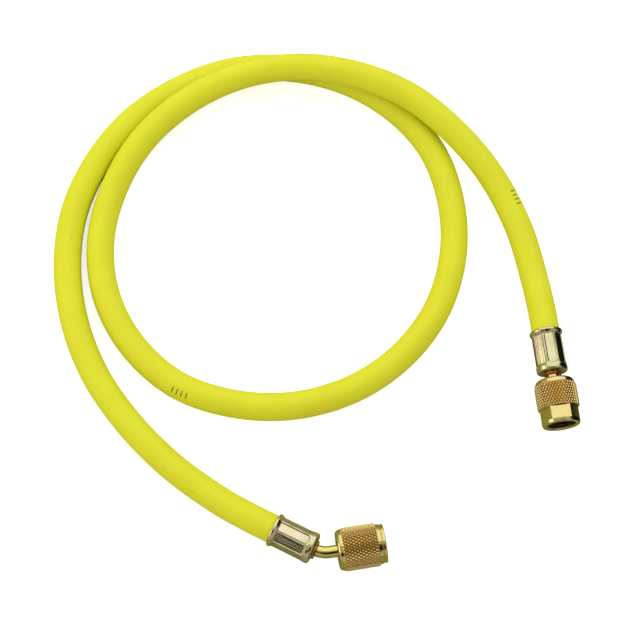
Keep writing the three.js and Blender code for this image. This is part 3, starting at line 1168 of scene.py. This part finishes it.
@dataclass(frozen=True)
class Ferrule:
    """A pressed sleeve that grips the hose: eight flats, ribs between them and an end bead.

    Attributes:
        length: from the lip to the end.
        hose_bore: the lip's bore, just over the hose.
        lip_radius: the lip's outer radius.
        lip_length: how long the rolled lip is.
        neck_radius: the outer radius just behind the lip.
        body_radius: the radius of the ribs between the flats.
        flat_radius: the distance from the axis to a flat.
        flats: how many flats there are round it.
        flat_bow: how far the end of each flat bows out along the sleeve.
        rib_share: how much of each half flat the rib takes, from 0 to 1.
        rib_cleft: the depth of the cleft along each rib, as a share of the rib's height.
        bead_start: where the end bead starts.
        bead_radius: the bead's outer radius.
        dish_radius: where the dished end face starts.
        grip_bore: the bore where the hose is pressed thin.
        wall_start: where the end wall starts inside.
        hole_radius: the hole that the stem goes through.
    """

    length: float = 0.0165
    hose_bore: float = 0.0054
    lip_radius: float = 0.0064
    lip_length: float = 0.00125
    neck_radius: float = 0.00575
    body_radius: float = 0.0058
    flat_radius: float = 0.0052
    flats: int = 8
    flat_bow: float = 0.0006
    rib_share: float = 0.12
    rib_cleft: float = 0.6
    bead_start: float = 0.0138
    bead_radius: float = 0.00597
    dish_radius: float = 0.0044
    grip_bore: float = 0.0046
    wall_start: float = 0.0149
    hole_radius: float = 0.0024

    def build(
        self, name: str, node: str, turn: float, lip: Matrix, shop: Workshop
    ) -> bpy.types.Object:
        """Turns the sleeve, presses its flats and puts it on its end of the hose.

        Args:
            name: the piece's name.
            node: the CAD node that it stands for.
            turn: how far a flat's middle is turned from the top, towards the left.
            lip: the frame at the middle of its mouth.
            shop: the finishes and shape rules.

        Returns:
            The ferrule.
        """
        outline = eased((
            (0.0001, self.hose_bore, 0.0001),
            (0, self.lip_radius - 0.0003, 0.0003),
            (self.lip_length * 0.5, self.lip_radius, 0.0006),
            (self.lip_length, self.lip_radius - 0.0002, 0.0003),
            (self.lip_length + 0.0006, self.neck_radius, 0.0004),
            (self.bead_start, self.body_radius, 0.0004),
            (self.bead_start + 0.0008, self.bead_radius, 0.0005),
            (self.length, self.bead_radius - 0.0001, 0.0009),
            (self.length, self.dish_radius + 0.0003, 0.0002),
            (self.length - 0.0004, self.dish_radius - 0.0006, 0.0003),
            (self.length - 0.0005, self.hole_radius, 0.0001),
            (self.wall_start, self.hole_radius, 0),
            (self.wall_start, self.grip_bore, 0),
            (self.lip_length + 0.0004, self.grip_bore, 0.0004),
            (self.lip_length, self.hose_bore, 0.0003),
        ))
        sleeve = turned(name, spaced(outline, 0.00035), FINE_SIDES)
        shop.flats.shape(sleeve, shop.plating, {
            "Flats": float(self.flats),
            "Turn": turn,
            "Flat Radius": self.flat_radius,
            "Rib Radius": self.body_radius,
            "Rib Share": self.rib_share,
            "Cleft": self.rib_cleft,
            "Outside": self.grip_bore + 3 * NEAR,
            "Start": self.lip_length + 0.0006,
            "End": self.bead_start - 0.0003,
            "Bow": self.flat_bow,
            "Softness": 0.0004,
        })
        place(sleeve, lip)
        return fit(sleeve, shop.plating, Body.HOSE, node)


@dataclass(frozen=True)
class Stem:
    """A brass tube: its insert grips the hose from inside, and its collar holds the nut.

    Attributes:
        bore: its bore's radius.
        radius: the tube's outer radius.
        insert_start: where the insert starts, inside the hose.
        insert_radius: the insert's outer radius.
        barbs: where the insert's barbs are.
        barb_height: how far each barb stands out.
        shoulder_start: where the shoulder inside the ferrule starts.
        shoulder_radius: that shoulder's radius.
        shoulder_length: its thickness.
        flange_start: where the flange outside the ferrule starts.
        flange_radius: the flange's radius.
        flange_length: its thickness.
        collar_start: the collar's start, from the nut's back.
        collar_end: the collar's end, from the nut's back.
        collar_radius: its radius.
        seat_radius: the radius of the recess for the depressor.
        seat_start: where that recess starts, from the nut's back.
    """

    bore: float = 0.0012
    radius: float = 0.00225
    insert_start: float = 0.0015
    insert_radius: float = 0.0021
    barbs: tuple[float, ...] = (0.0035, 0.006, 0.0085, 0.011)
    barb_height: float = 0.00022
    shoulder_start: float = 0.0137
    shoulder_radius: float = 0.00325
    shoulder_length: float = 0.0009
    flange_start: float = 0.0168
    flange_radius: float = 0.0035
    flange_length: float = 0.0007
    collar_start: float = 0.0028
    collar_end: float = 0.0050
    collar_radius: float = 0.00465
    seat_radius: float = 0.0020
    seat_start: float = 0.0035

    def build(
        self, name: str, node: str, path: Path, nut_back: float, seat: bool, shop: Workshop
    ) -> bpy.types.Object:
        """Turns the stem about its path.

        Args:
            name: the piece's name.
            node: the CAD node that it stands for.
            path: the line from the ferrule's lip through the nut.
            nut_back: how far along it the nut's back is.
            seat: whether the collar's face has a recess for a depressor.
            shop: the finishes and shape rules.

        Returns:
            The stem.
        """
        shoulder_end = self.shoulder_start + self.shoulder_length
        flange_end = self.flange_start + self.flange_length
        corners = [(self.insert_start, self.bore, 0), (self.insert_start, 0.0018, 0.0001)]
        for barb in self.barbs:
            corners += [
                (barb - 0.0012, self.insert_radius - 0.0002, 0),
                (barb, self.insert_radius + self.barb_height, 0.00005),
                (barb + 0.0001, self.insert_radius - 0.0002, 0),
            ]
        corners += [
            (self.shoulder_start, self.insert_radius, 0),
            (self.shoulder_start, self.shoulder_radius, 0.0001),
            (shoulder_end, self.shoulder_radius, 0.0001),
            (shoulder_end, self.radius, 0),
            (self.flange_start, self.radius, 0),
            (self.flange_start, self.flange_radius, 0.0002),
            (flange_end, self.flange_radius, 0.00025),
            (flange_end, self.radius, 0.0003),
            (nut_back + self.collar_start, self.radius, 0.0003),
            (nut_back + self.collar_start, self.collar_radius, 0.0002),
            (nut_back + self.collar_end, self.collar_radius, 0.0002),
        ]
        if seat:
            corners += [
                (nut_back + self.collar_end, self.seat_radius, 0),
                (nut_back + self.seat_start, self.seat_radius, 0),
                (nut_back + self.seat_start, self.bore, 0),
            ]
        else:
            corners.append((nut_back + self.collar_end, self.bore, 0.0001))
        stem = turned(name, spaced(eased(corners), 0.0006), PLAIN_SIDES, path)
        return fit(stem, shop.stem_brass, Body.HOSE, node)


@dataclass(frozen=True)
class SwivelNut:
    """A knurled nut that turns on its stem, in its own frame: back at 0, mouth along +X.

    Attributes:
        rim_length: how long the rim at the mouth is.
        hex_length: how long the wrench flats are, if it has them.
        hex_turn: how far a flat's middle is turned from the top, towards the left.
        rim_groove: how deep a groove runs round the rim.
        length: from back to mouth.
        hole_radius: the hole in its back, for the stem.
        back_radius: the radius of its back face.
        back_wall: the thickness of its back.
        shoulder_length: how long the smooth shoulder is.
        shoulder_radius: the shoulder's largest radius.
        groove_radius: the radius at the bottom of the knurl.
        tip_radius: the radius of the knurl's tips.
        diamonds: how many diamonds there are round it.
        row_step: about how far apart the rows of diamonds are.
        knurl_chamfer: over what distance the diamonds rise at the knurl's ends.
        flat_radius: the distance from the axis to a wrench flat.
        rim_radius: the radius of the rim at the mouth.
        groove_start: how far from the mouth the rim's groove starts.
        groove_end: how far from the mouth it ends.
        mouth_chamfer: the chamfer at the mouth of the bore.
        thread_radius: the thread's inner radius.
        thread_depth: the thread's depth.
        thread_pitch: the thread's pitch.
        thread_start: where the thread starts.
    """

    rim_length: float
    hex_length: float = 0.0
    hex_turn: float = 0.0
    rim_groove: float = 0.0
    length: float = 0.0177
    hole_radius: float = 0.00235
    back_radius: float = 0.00655
    back_wall: float = 0.0025
    shoulder_length: float = 0.0020
    shoulder_radius: float = 0.00765
    groove_radius: float = 0.00755
    tip_radius: float = 0.00795
    diamonds: int = 41
    row_step: float = 0.00099
    knurl_chamfer: float = 0.0008
    flat_radius: float = 0.00635
    rim_radius: float = 0.00727
    groove_start: float = 0.0016
    groove_end: float = 0.0011
    mouth_chamfer: float = 0.0006
    thread_radius: float = 0.00497
    thread_depth: float = 0.00052
    thread_pitch: float = 0.00127
    thread_start: float = 0.0079

    @property
    def rim_start(self) -> float:
        """Where the rim starts."""
        return self.length - self.rim_length

    @property
    def knurl_end(self) -> float:
        """Where the knurl ends and the wrench flats start."""
        return self.rim_start - self.hex_length

    def outline(self) -> tuple[list[tuple[float, float]], float]:
        """Draws the nut's outline, with rings on the knurl's grid.

        Returns:
            The outline, and the exact distance between the knurl's rows.
        """
        knurled = self.knurl_end - self.shoulder_length
        parts = round(knurled / self.row_step * KNURL_PARTS)
        step = knurled / parts
        outside = spaced(eased((
            (0, self.hole_radius, 0.00015),
            (0, self.back_radius, 0.0003),
            (0.0006, self.shoulder_radius - 0.0004, 0.0006),
            (self.shoulder_length - EDGE, self.shoulder_radius, 0.0008),
            (self.shoulder_length - EDGE, self.groove_radius, 0),
        )), 0.0003)
        # From its furthest point the outline would run back to its start.
        furthest = max(range(len(outside)), key=lambda index: outside[index][0])
        del outside[furthest + 1 :]
        knurl = [
            (self.shoulder_length + part * step, self.groove_radius) for part in range(parts + 1)
        ]
        groove = (
            (self.length - self.groove_start, self.rim_radius, 0.0001),
            (self.length - self.groove_start + 0.0001, self.rim_radius - self.rim_groove, 0.0001),
            (self.length - self.groove_end - 0.0001, self.rim_radius - self.rim_groove, 0.0001),
            (self.length - self.groove_end, self.rim_radius - self.rim_groove / 4, 0.0002),
        ) if self.rim_groove else ()
        front = eased((
            (self.knurl_end + EDGE, self.rim_radius, 0),
            (self.rim_start - EDGE, self.rim_radius, 0),
            (self.rim_start + EDGE, self.rim_radius, 0),
            *groove,
            (self.length, self.rim_radius - 0.0002, 0.0004),
            (self.length, self.thread_radius + self.mouth_chamfer, 0.00015),
            (self.length - self.mouth_chamfer, self.thread_radius, 0),
        ))
        rings = round((self.length - self.thread_start) / self.thread_pitch * THREAD_PARTS)
        bore = [
            (
                self.length - self.mouth_chamfer
                - (self.length - self.thread_start) * ring / rings,
                self.thread_radius,
            )
            for ring in range(1, rings)
        ]
        inside = [
            (self.thread_start - 0.0012, self.thread_radius),
            (self.back_wall, self.thread_radius),
            (self.back_wall, self.hole_radius),
        ]
        return [*outside, *knurl, *front, *bore, *inside], step * KNURL_PARTS

    def build(
        self, name: str, node: str, body: Body, back: Matrix, shop: Workshop
    ) -> bpy.types.Object:
        """Turns the nut, and cuts its knurl, its wrench flats and its thread.

        Args:
            name: the piece's name.
            node: the CAD node that it stands for.
            body: the body that it turns with.
            back: the frame at the middle of its back.
            shop: the finishes and shape rules.

        Returns:
            The nut.
        """
        outline, row_step = self.outline()
        nut = turned(name, outline, self.diamonds * 2 * KNURL_PARTS)
        if self.hex_length:
            shop.flats.shape(nut, shop.brass, {
                "Flats": 6.0,
                "Turn": self.hex_turn,
                "Flat Radius": self.flat_radius,
                "Rib Radius": self.tip_radius,
                "Rib Share": 0.0,
                "Cleft": 0.0,
                "Outside": self.thread_radius + 0.0008,
                "Start": self.knurl_end + EDGE,
                "End": self.rim_start,
                "Bow": 0.0,
                "Softness": 0.0,
            })
        shop.thread.shape(nut, shop.brass, {
            "Start": self.thread_start,
            "End": self.length - 0.0003,
            "Pitch": self.thread_pitch,
            "Depth": self.thread_depth,
            "Inside": self.thread_radius - NEAR,
            "Outside": self.thread_radius + 2 * NEAR,
        })
        shop.knurl.shape(nut, shop.brass, {
            "Start": self.shoulder_length,
            "End": self.knurl_end,
            "Around": float(self.diamonds),
            "Row Step": row_step,
            "Depth": self.tip_radius - self.groove_radius,
            "Flat Share": 1 / KNURL_PARTS,
            "Chamfer": self.knurl_chamfer,
            "Outside": self.groove_radius - NEAR,
        })
        place(nut, back)
        return fit(nut, shop.brass, body, node)


@dataclass(frozen=True)
class SealingWasher:
    """The rubber washer that the nut draws onto a flare, against the stem's collar.

    Attributes:
        start: its back face, from the nut's back.
        end: its front face, from the nut's back.
        bore: its bore's radius.
        radius: its outer radius.
    """

    start: float = 0.0053
    end: float = 0.0076
    bore: float = 0.0014
    radius: float = 0.00465

    def build(self, name: str, node: str, back: Matrix, shop: Workshop) -> bpy.types.Object:
        """Turns the washer.

        Args:
            name: the piece's name.
            node: the CAD node that it stands for.
            back: the frame at the middle of the nut's back.
            shop: the finishes and shape rules.

        Returns:
            The washer.
        """
        washer = turned(name, eased((
            (self.start, self.bore, 0.0002),
            (self.start, self.radius, 0.0003),
            (self.end, self.radius, 0.0003),
            (self.end, self.bore + 0.0005, 0.0004),
            (self.end - 0.0005, self.bore, 0.0002),
        )), PLAIN_SIDES)
        place(washer, back)
        return fit(washer, shop.seal, Body.HOSE, node)


@dataclass(frozen=True)
class CoreDepressor:
    """A small brass pin on a flat bar, which opens the valve that the hose is screwed to.

    Attributes:
        bar_start: the bar's back, from the nut's back.
        bar_length: the bar's thickness.
        bar_radius: the radius of its rounded ends.
        bar_width: how wide it is.
        pin_radius: the pin's radius.
        pin_end: the pin's tip, from the nut's back.
    """

    bar_start: float = 0.0038
    bar_length: float = 0.0012
    bar_radius: float = 0.0017
    bar_width: float = 0.0014
    pin_radius: float = 0.0006
    pin_end: float = 0.0088

    def build(self, name: str, node: str, back: Matrix, shop: Workshop) -> bpy.types.Object:
        """Builds the bar and the pin as one piece.

        Args:
            name: the piece's name.
            node: the CAD node that it stands for.
            back: the frame at the middle of the nut's back.
            shop: the finishes and shape rules.

        Returns:
            The depressor.
        """
        pin = turned(name, eased((
            (self.bar_start + 0.0002, 0, 0),
            (self.bar_start + 0.0002, self.pin_radius, 0),
            (self.pin_end, self.pin_radius, 0.0003),
            (self.pin_end, 0, 0),
        )), PLAIN_SIDES // 2)
        work = bmesh.new()
        work.from_mesh(pin.data)
        reach = math.asin(self.bar_width / 2 / self.bar_radius)
        angles = [
            middle + reach * (step / CORNER_STEPS - 1)
            for middle in (math.pi / 2, math.pi * 3 / 2)
            for step in range(2 * CORNER_STEPS + 1)
        ]
        ends = []
        for distance in (self.bar_start, self.bar_start + self.bar_length):
            ends.append([
                work.verts.new((
                    distance, self.bar_radius * math.cos(angle), self.bar_radius * math.sin(angle)
                ))
                for angle in angles
            ])
        work.faces.new(reversed(ends[0]))
        work.faces.new(ends[1])
        for index in range(len(angles)):
            beside = (index + 1) % len(angles)
            work.faces.new((ends[0][index], ends[0][beside], ends[1][beside], ends[1][index]))
        work.to_mesh(pin.data)
        work.free()
        place(pin, back)
        return fit(pin, shop.brass, Body.HOSE, node)


@dataclass(frozen=True)
class Fitting:
    """One end of the hose: its ferrule, its stem, its swivel nut and the nut's washer.

    Attributes:
        label: what its pieces' names start with.
        letter: what its CAD nodes' names end in.
        nut_body: the body that its nut turns with.
        lip: the middle of the ferrule's mouth.
        heading: which way the fitting points, in degrees from +X.
        crimp_turn: how far a flat of the ferrule is turned from the top, in degrees.
        nut: its nut.
        reach: the stem's straight length up to the nut's back.
        bend: the stem's bend, in degrees.
        bend_start: where the bend starts, from the lip.
        bend_radius: the bend's radius.
        has_depressor: whether its collar holds a valve core depressor.
    """

    label: str
    letter: str
    nut_body: Body
    lip: tuple[float, float, float]
    heading: float
    crimp_turn: float
    nut: SwivelNut
    reach: float
    bend: float = 0.0
    bend_start: float = 0.0169
    bend_radius: float = 0.009
    has_depressor: bool = False

    @property
    def axis(self) -> StraightPath:
        """The line of the ferrule."""
        return StraightPath(Vector(self.lip), math.radians(self.heading))

    @property
    def path(self) -> BentPath:
        """The line of the stem."""
        return BentPath(self.axis, self.bend_start, self.bend_radius, math.radians(self.bend))

    def build(self, shop: Workshop) -> list[bpy.types.Object]:
        """Builds the fitting's pieces.

        Args:
            shop: the finishes and shape rules.

        Returns:
            The pieces.
        """
        path = self.path
        nut_back = path.bend_end + self.reach
        back = path.at(nut_back)
        pieces = [
            Ferrule().build(
                f"{self.label}_ferrule", f"ferrule_{self.letter}",
                math.radians(self.crimp_turn), self.axis.at(0), shop,
            ),
            Stem().build(
                f"{self.label}_stem", f"stem_{self.letter}", path, nut_back,
                self.has_depressor, shop,
            ),
            self.nut.build(
                f"{self.label}_nut", f"nut_{self.letter}", self.nut_body, back, shop
            ),
            SealingWasher().build(f"{self.label}_washer", f"gasket_{self.letter}", back, shop),
        ]
        if self.has_depressor:
            pieces.append(CoreDepressor().build("valve_core_pin", "core_depressor", back, shop))
        return pieces


ANGLED_FITTING = Fitting(
    label="angled",
    letter="a",
    nut_body=Body.ANGLED_NUT,
    lip=(-0.0136, -0.0906, 0.00795),
    heading=-26.5,
    crimp_turn=11,
    nut=SwivelNut(rim_length=0.0028, rim_groove=0.0004),
    reach=0.00275,
    bend=35.7,
    has_depressor=True,
)
STRAIGHT_FITTING = Fitting(
    label="straight",
    letter="b",
    nut_body=Body.STRAIGHT_NUT,
    lip=(0.0896, -0.014, 0.00795),
    heading=-83.5,
    crimp_turn=0,
    nut=SwivelNut(rim_length=0.0014, hex_length=0.0051, hex_turn=math.radians(-4)),
    reach=0.00285,
)


@dataclass(frozen=True)
class HoseTube:
    """The rubber hose, in the loop that it lies in.

    Attributes:
        radius: its outer radius.
        bore: its bore's radius.
        pressed_radius: its outer radius inside a ferrule.
        end_depth: how far it reaches into each ferrule.
        pressed_depth: how far from its end it is pressed thin.
        lead: how far it runs straight before each ferrule.
        length: its length from cut end to cut end.
        route: the points that it lies through: x, y and the height of its underside.
    """

    radius: float = 0.00535
    bore: float = 0.0024
    pressed_radius: float = 0.00455
    end_depth: float = 0.0134
    pressed_depth: float = 0.0117
    lead: float = 0.008
    length: float = 0.910
    route: tuple[tuple[float, float, float], ...] = (
        (-0.0335, -0.0795, 0.0006), (-0.0520, -0.0660, 0), (-0.0685, -0.0495, 0),
        (-0.0820, -0.0305, 0), (-0.0910, -0.0090, 0), (-0.0950, 0.0140, 0),
        (-0.0935, 0.0370, 0), (-0.0855, 0.0585, 0), (-0.0720, 0.0775, 0),
        (-0.0535, 0.0915, 0), (-0.0320, 0.1000, 0), (-0.0085, 0.1010, 0),
        (0.0140, 0.0950, 0), (0.0335, 0.0825, 0), (0.0480, 0.0645, 0),
        (0.0550, 0.0425, 0), (0.0555, 0.0195, 0), (0.0490, -0.0030, 0),
        (0.0355, -0.0220, 0), (0.0170, -0.0355, 0), (-0.0055, -0.0425, 0),
        (-0.0285, -0.0420, 0), (-0.0505, -0.0345, 0), (-0.0680, -0.0190, 0),
        (-0.0790, 0.0010, 0), (-0.0825, 0.0240, 0.0002), (-0.0780, 0.0470, 0.0012),
        (-0.0670, 0.0670, 0.0037), (-0.0500, 0.0825, 0.0064), (-0.0295, 0.0925, 0.0087),
        (-0.0065, 0.0960, 0.0104), (0.0165, 0.0925, 0.0113), (0.0380, 0.0835, 0.0107),
        (0.0560, 0.0690, 0.0082), (0.0705, 0.0515, 0.0049), (0.0810, 0.0305, 0.0018),
        (0.0865, 0.0085, 0.0011),
    )

    def line(self, start: StraightPath, end: StraightPath) -> RoutePath:
        """Lays out the hose's middle line.

        Args:
            start: the axis of the ferrule that the distances start in.
            end: the axis of the other ferrule.

        Returns:
            The line.
        """
        leads = [
            [axis.at(distance).translation for distance in (self.end_depth, 0, -self.lead)]
            for axis in (start, end)
        ]
        between = [Vector((x, y, self.radius + lift)) for x, y, lift in self.route]
        return RoutePath([*leads[0], *between, *reversed(leads[1])])

    def build(self, line: RoutePath, shop: Workshop) -> bpy.types.Object:
        """Builds the tube along its line.

        Args:
            line: the hose's middle line.
            shop: the finishes and shape rules.

        Returns:
            The hose.
        """
        end = line.length
        swell = self.pressed_depth + 0.0012
        outline = eased((
            (0, self.bore, 0.0002),
            (0, self.pressed_radius, 0.0003),
            (self.pressed_depth, self.pressed_radius, 0.0006),
            (swell, self.radius, 0.0006),
            (end - swell, self.radius, 0.0006),
            (end - self.pressed_depth, self.pressed_radius, 0.0006),
            (end, self.pressed_radius, 0.0003),
            (end, self.bore, 0.0002),
        ))
        hose = turned("hose_tube", spaced(outline, 0.002), HOSE_SIDES, line)
        return fit(hose, shop.rubber, Body.HOSE, "hose")

    def declare(
        self,
        line: RoutePath,
    ) -> None:
        """Samples points every 4 mm along its middle line, and keeps none of them.

        Args:
        """
        count = math.ceil(line.length / 0.004)
        points = [line.at(line.length * part / count).translation for part in range(count + 1)]


@dataclass(frozen=True)
class DarkCard:
    """A dark patch of the room, seen from the object.

    Attributes:
        towards: which way it lies.
        inner: how many degrees from its middle it is fully dark.
        outer: how many degrees from its middle it ends.
    """

    towards: tuple[float, float, float]
    inner: float
    outer: float

    def mask(self, room: NodeTree, direction: bpy.types.NodeSocket) -> bpy.types.NodeSocket:
        """Builds the card's mask on the room.

        Args:
            room: the room's nodes.
            direction: the direction that is looked in.

        Returns:
            1 on the card and 0 off it.
        """
        facing = room.add("ShaderNodeVectorMath", {
            0: direction, 1: Vector(self.towards).normalized(),
        }, operation="DOT_PRODUCT").outputs["Value"]
        outer, inner = (math.cos(math.radians(angle)) for angle in (self.outer, self.inner))
        return room.ramp(facing, outer, inner)


@dataclass(frozen=True)
class SoftLight:
    """A rectangular light that faces the object.

    Attributes:
        name: its name.
        location: its middle.
        size: its width and height.
        power: its power, in watts.
        colour: its colour.
    """

    name: str
    location: tuple[float, float, float]
    size: tuple[float, float]
    power: float
    colour: Colour

    def hang(self) -> None:
        """Makes the light."""
        light = bpy.data.lights.new(self.name, "AREA")
        light.shape = "RECTANGLE"
        light.size, light.size_y = self.size
        light.energy = self.power
        light.color = self.colour
        lamp = bpy.data.objects.new(self.name, light)
        lamp.location = self.location
        lamp.rotation_euler = (-Vector(self.location)).to_track_quat("-Z", "Y").to_euler()
        bpy.context.scene.collection.objects.link(lamp)


@dataclass(frozen=True)
class Studio:
    """A pale floor, soft light and the camera.

    Attributes:
        target: the point that the camera looks at.
        distance: how far the camera is from it.
        elevation: the camera's height above the horizon, in degrees.
        lens: its focal length in millimetres, for the width of its sensor.
        sensor: that width, in millimetres.
        floor_half: how far the floor reaches to each side.
        floor_drop: how far the floor is below zero, so that nothing touches it exactly.
        floor_seen: the floor's colour, as the camera sees it.
        floor_glow: how much light is added to what the camera sees of it.
        floor_light: the floor's colour, as it lights the object.
        floor_mirrored: the floor's colour, as bright metal mirrors it.
        dark_floor: how far to the right its mirrored colour starts and ends darkening.
        room_light: the light from the room's walls.
        room_mirrored: the walls' light, as bright metal mirrors it.
        lights: the lights: a large soft one over the back, and a weak warm one at the left.
        card_light: the light from the dark cards.
        cards: the dark cards round the object, which give its metal its dark bands.
    """

    target: tuple[float, float, float] = (0.003425, -0.0063, 0)
    distance: float = 0.6146
    elevation: float = 70.0
    lens: float = 89.0
    sensor: float = 36.0
    floor_half: float = 3.0
    floor_drop: float = 0.00005
    floor_seen: Colour = (0.9, 0.9, 0.9)
    floor_glow: float = 0.65
    floor_light: Colour = (0.78, 0.76, 0.66)
    floor_mirrored: Colour = (0.34, 0.34, 0.14)
    dark_floor: tuple[float, float] = (0.103, 0.120)
    room_light: Colour = (0.70, 0.685, 0.64)
    room_mirrored: Colour = (0.50, 0.48, 0.36)
    lights: tuple[SoftLight, ...] = (
        SoftLight("key_light", (0.05, 0.65, 0.75), (2.0, 1.6), 7.2, (1.0, 1.0, 0.97)),
        SoftLight("fill_light", (-1.0, -0.15, 0.45), (0.8, 0.5), 2.0, (1.0, 0.90, 0.74)),
    )
    card_light: Colour = (0.008, 0.008, 0.006)
    cards: tuple[DarkCard, ...] = (
        DarkCard((0.12, -0.55, 0.83), 16, 24),
        DarkCard((-0.42, -0.62, 0.66), 9, 13),
        DarkCard((1, 0.3, 0.12), 26, 40),
    )

    def aim_camera(self) -> None:
        """Makes the camera."""
        camera = bpy.data.objects.new("camera", bpy.data.cameras.new("camera"))
        camera.data.lens = self.lens
        camera.data.sensor_width = self.sensor
        tilt = math.radians(90 - self.elevation)
        back = Vector((0, -math.sin(tilt), math.cos(tilt)))
        camera.location = Vector(self.target) + back * self.distance
        camera.rotation_euler = (tilt, 0, 0)
        bpy.context.scene.collection.objects.link(camera)
        bpy.context.scene.camera = camera

    def lay_floor(self) -> None:
        """Makes the floor. It looks white, but lights and mirrors in the object less strongly."""
        mesh = bpy.data.meshes.new("floor")
        half = self.floor_half
        mesh.from_pydata(
            [(x, y, -self.floor_drop) for x, y in (
                (-half, -half), (half, -half), (half, half), (-half, half)
            )],
            [],
            [(0, 1, 2, 3)],
        )
        floor = bpy.data.objects.new("floor", mesh)
        bpy.context.scene.collection.objects.link(floor)
        surface = Surface("pale_floor", {"Roughness": 0.9, "Specular IOR Level": 0.0})
        rays = surface.add("ShaderNodeLightPath").outputs
        across = surface.add("ShaderNodeSeparateXYZ", {0: surface.place}).outputs[0]
        mirrored = surface.mixed(
            surface.ramp(across, *self.dark_floor),
            rgba(self.floor_mirrored),
            rgba(self.card_light),
        )
        colour = surface.mixed(rays["Is Glossy Ray"], rgba(self.floor_light), mirrored)
        surface.put(
            Base_Color=surface.mixed(rays["Is Camera Ray"], colour, rgba(self.floor_seen)),
            Emission_Color=rgba((1, 1, 1)),
            Emission_Strength=surface.product(rays["Is Camera Ray"], self.floor_glow),
        )
        mesh.materials.append(surface.material)

    def fill_room(self) -> None:
        """Gives the room its even light, with dark cards in front and at the right."""
        world = bpy.data.worlds.new("room")
        bpy.context.scene.world = world
        world.use_nodes = True
        room = NodeTree(world.node_tree)
        room.tree.nodes.clear()
        direction = room.add("ShaderNodeTexCoord").outputs["Generated"]
        shade = 0.0
        for card in self.cards:
            shade = room.math("MAXIMUM", shade, card.mask(room, direction))
        mirrored = room.mixed(shade, rgba(self.room_mirrored), rgba(self.card_light))
        colour = room.mixed(
            room.add("ShaderNodeLightPath").outputs["Is Glossy Ray"],
            rgba(self.room_light), mirrored,
        )
        background = room.add("ShaderNodeBackground", {"Color": colour, "Strength": 1.0})
        room.add("ShaderNodeOutputWorld", {"Surface": background})

    def build(self) -> None:
        """Builds the floor and the light."""
        self.lay_floor()
        for light in self.lights:
            light.hang()
        self.fill_room()
        bpy.context.scene.view_settings.view_transform = "Standard"


def main() -> None:
    """Builds the hose and its studio."""
    logging.basicConfig(level=logging.INFO, format="%(message)s")
    studio = Studio()
    studio.aim_camera()
    shop = Workshop.open()
    tube = HoseTube()
    line = tube.line(ANGLED_FITTING.axis, STRAIGHT_FITTING.axis)
    hose = tube.build(line, shop)
    far_pieces = STRAIGHT_FITTING.build(shop)
    tube.declare(line)
    LOG.info("hose: %.1f mm from cut end to cut end", line.length * 1000)
    ANGLED_FITTING.build(shop)
    studio.build()


if __name__ == "__main__":
    main()
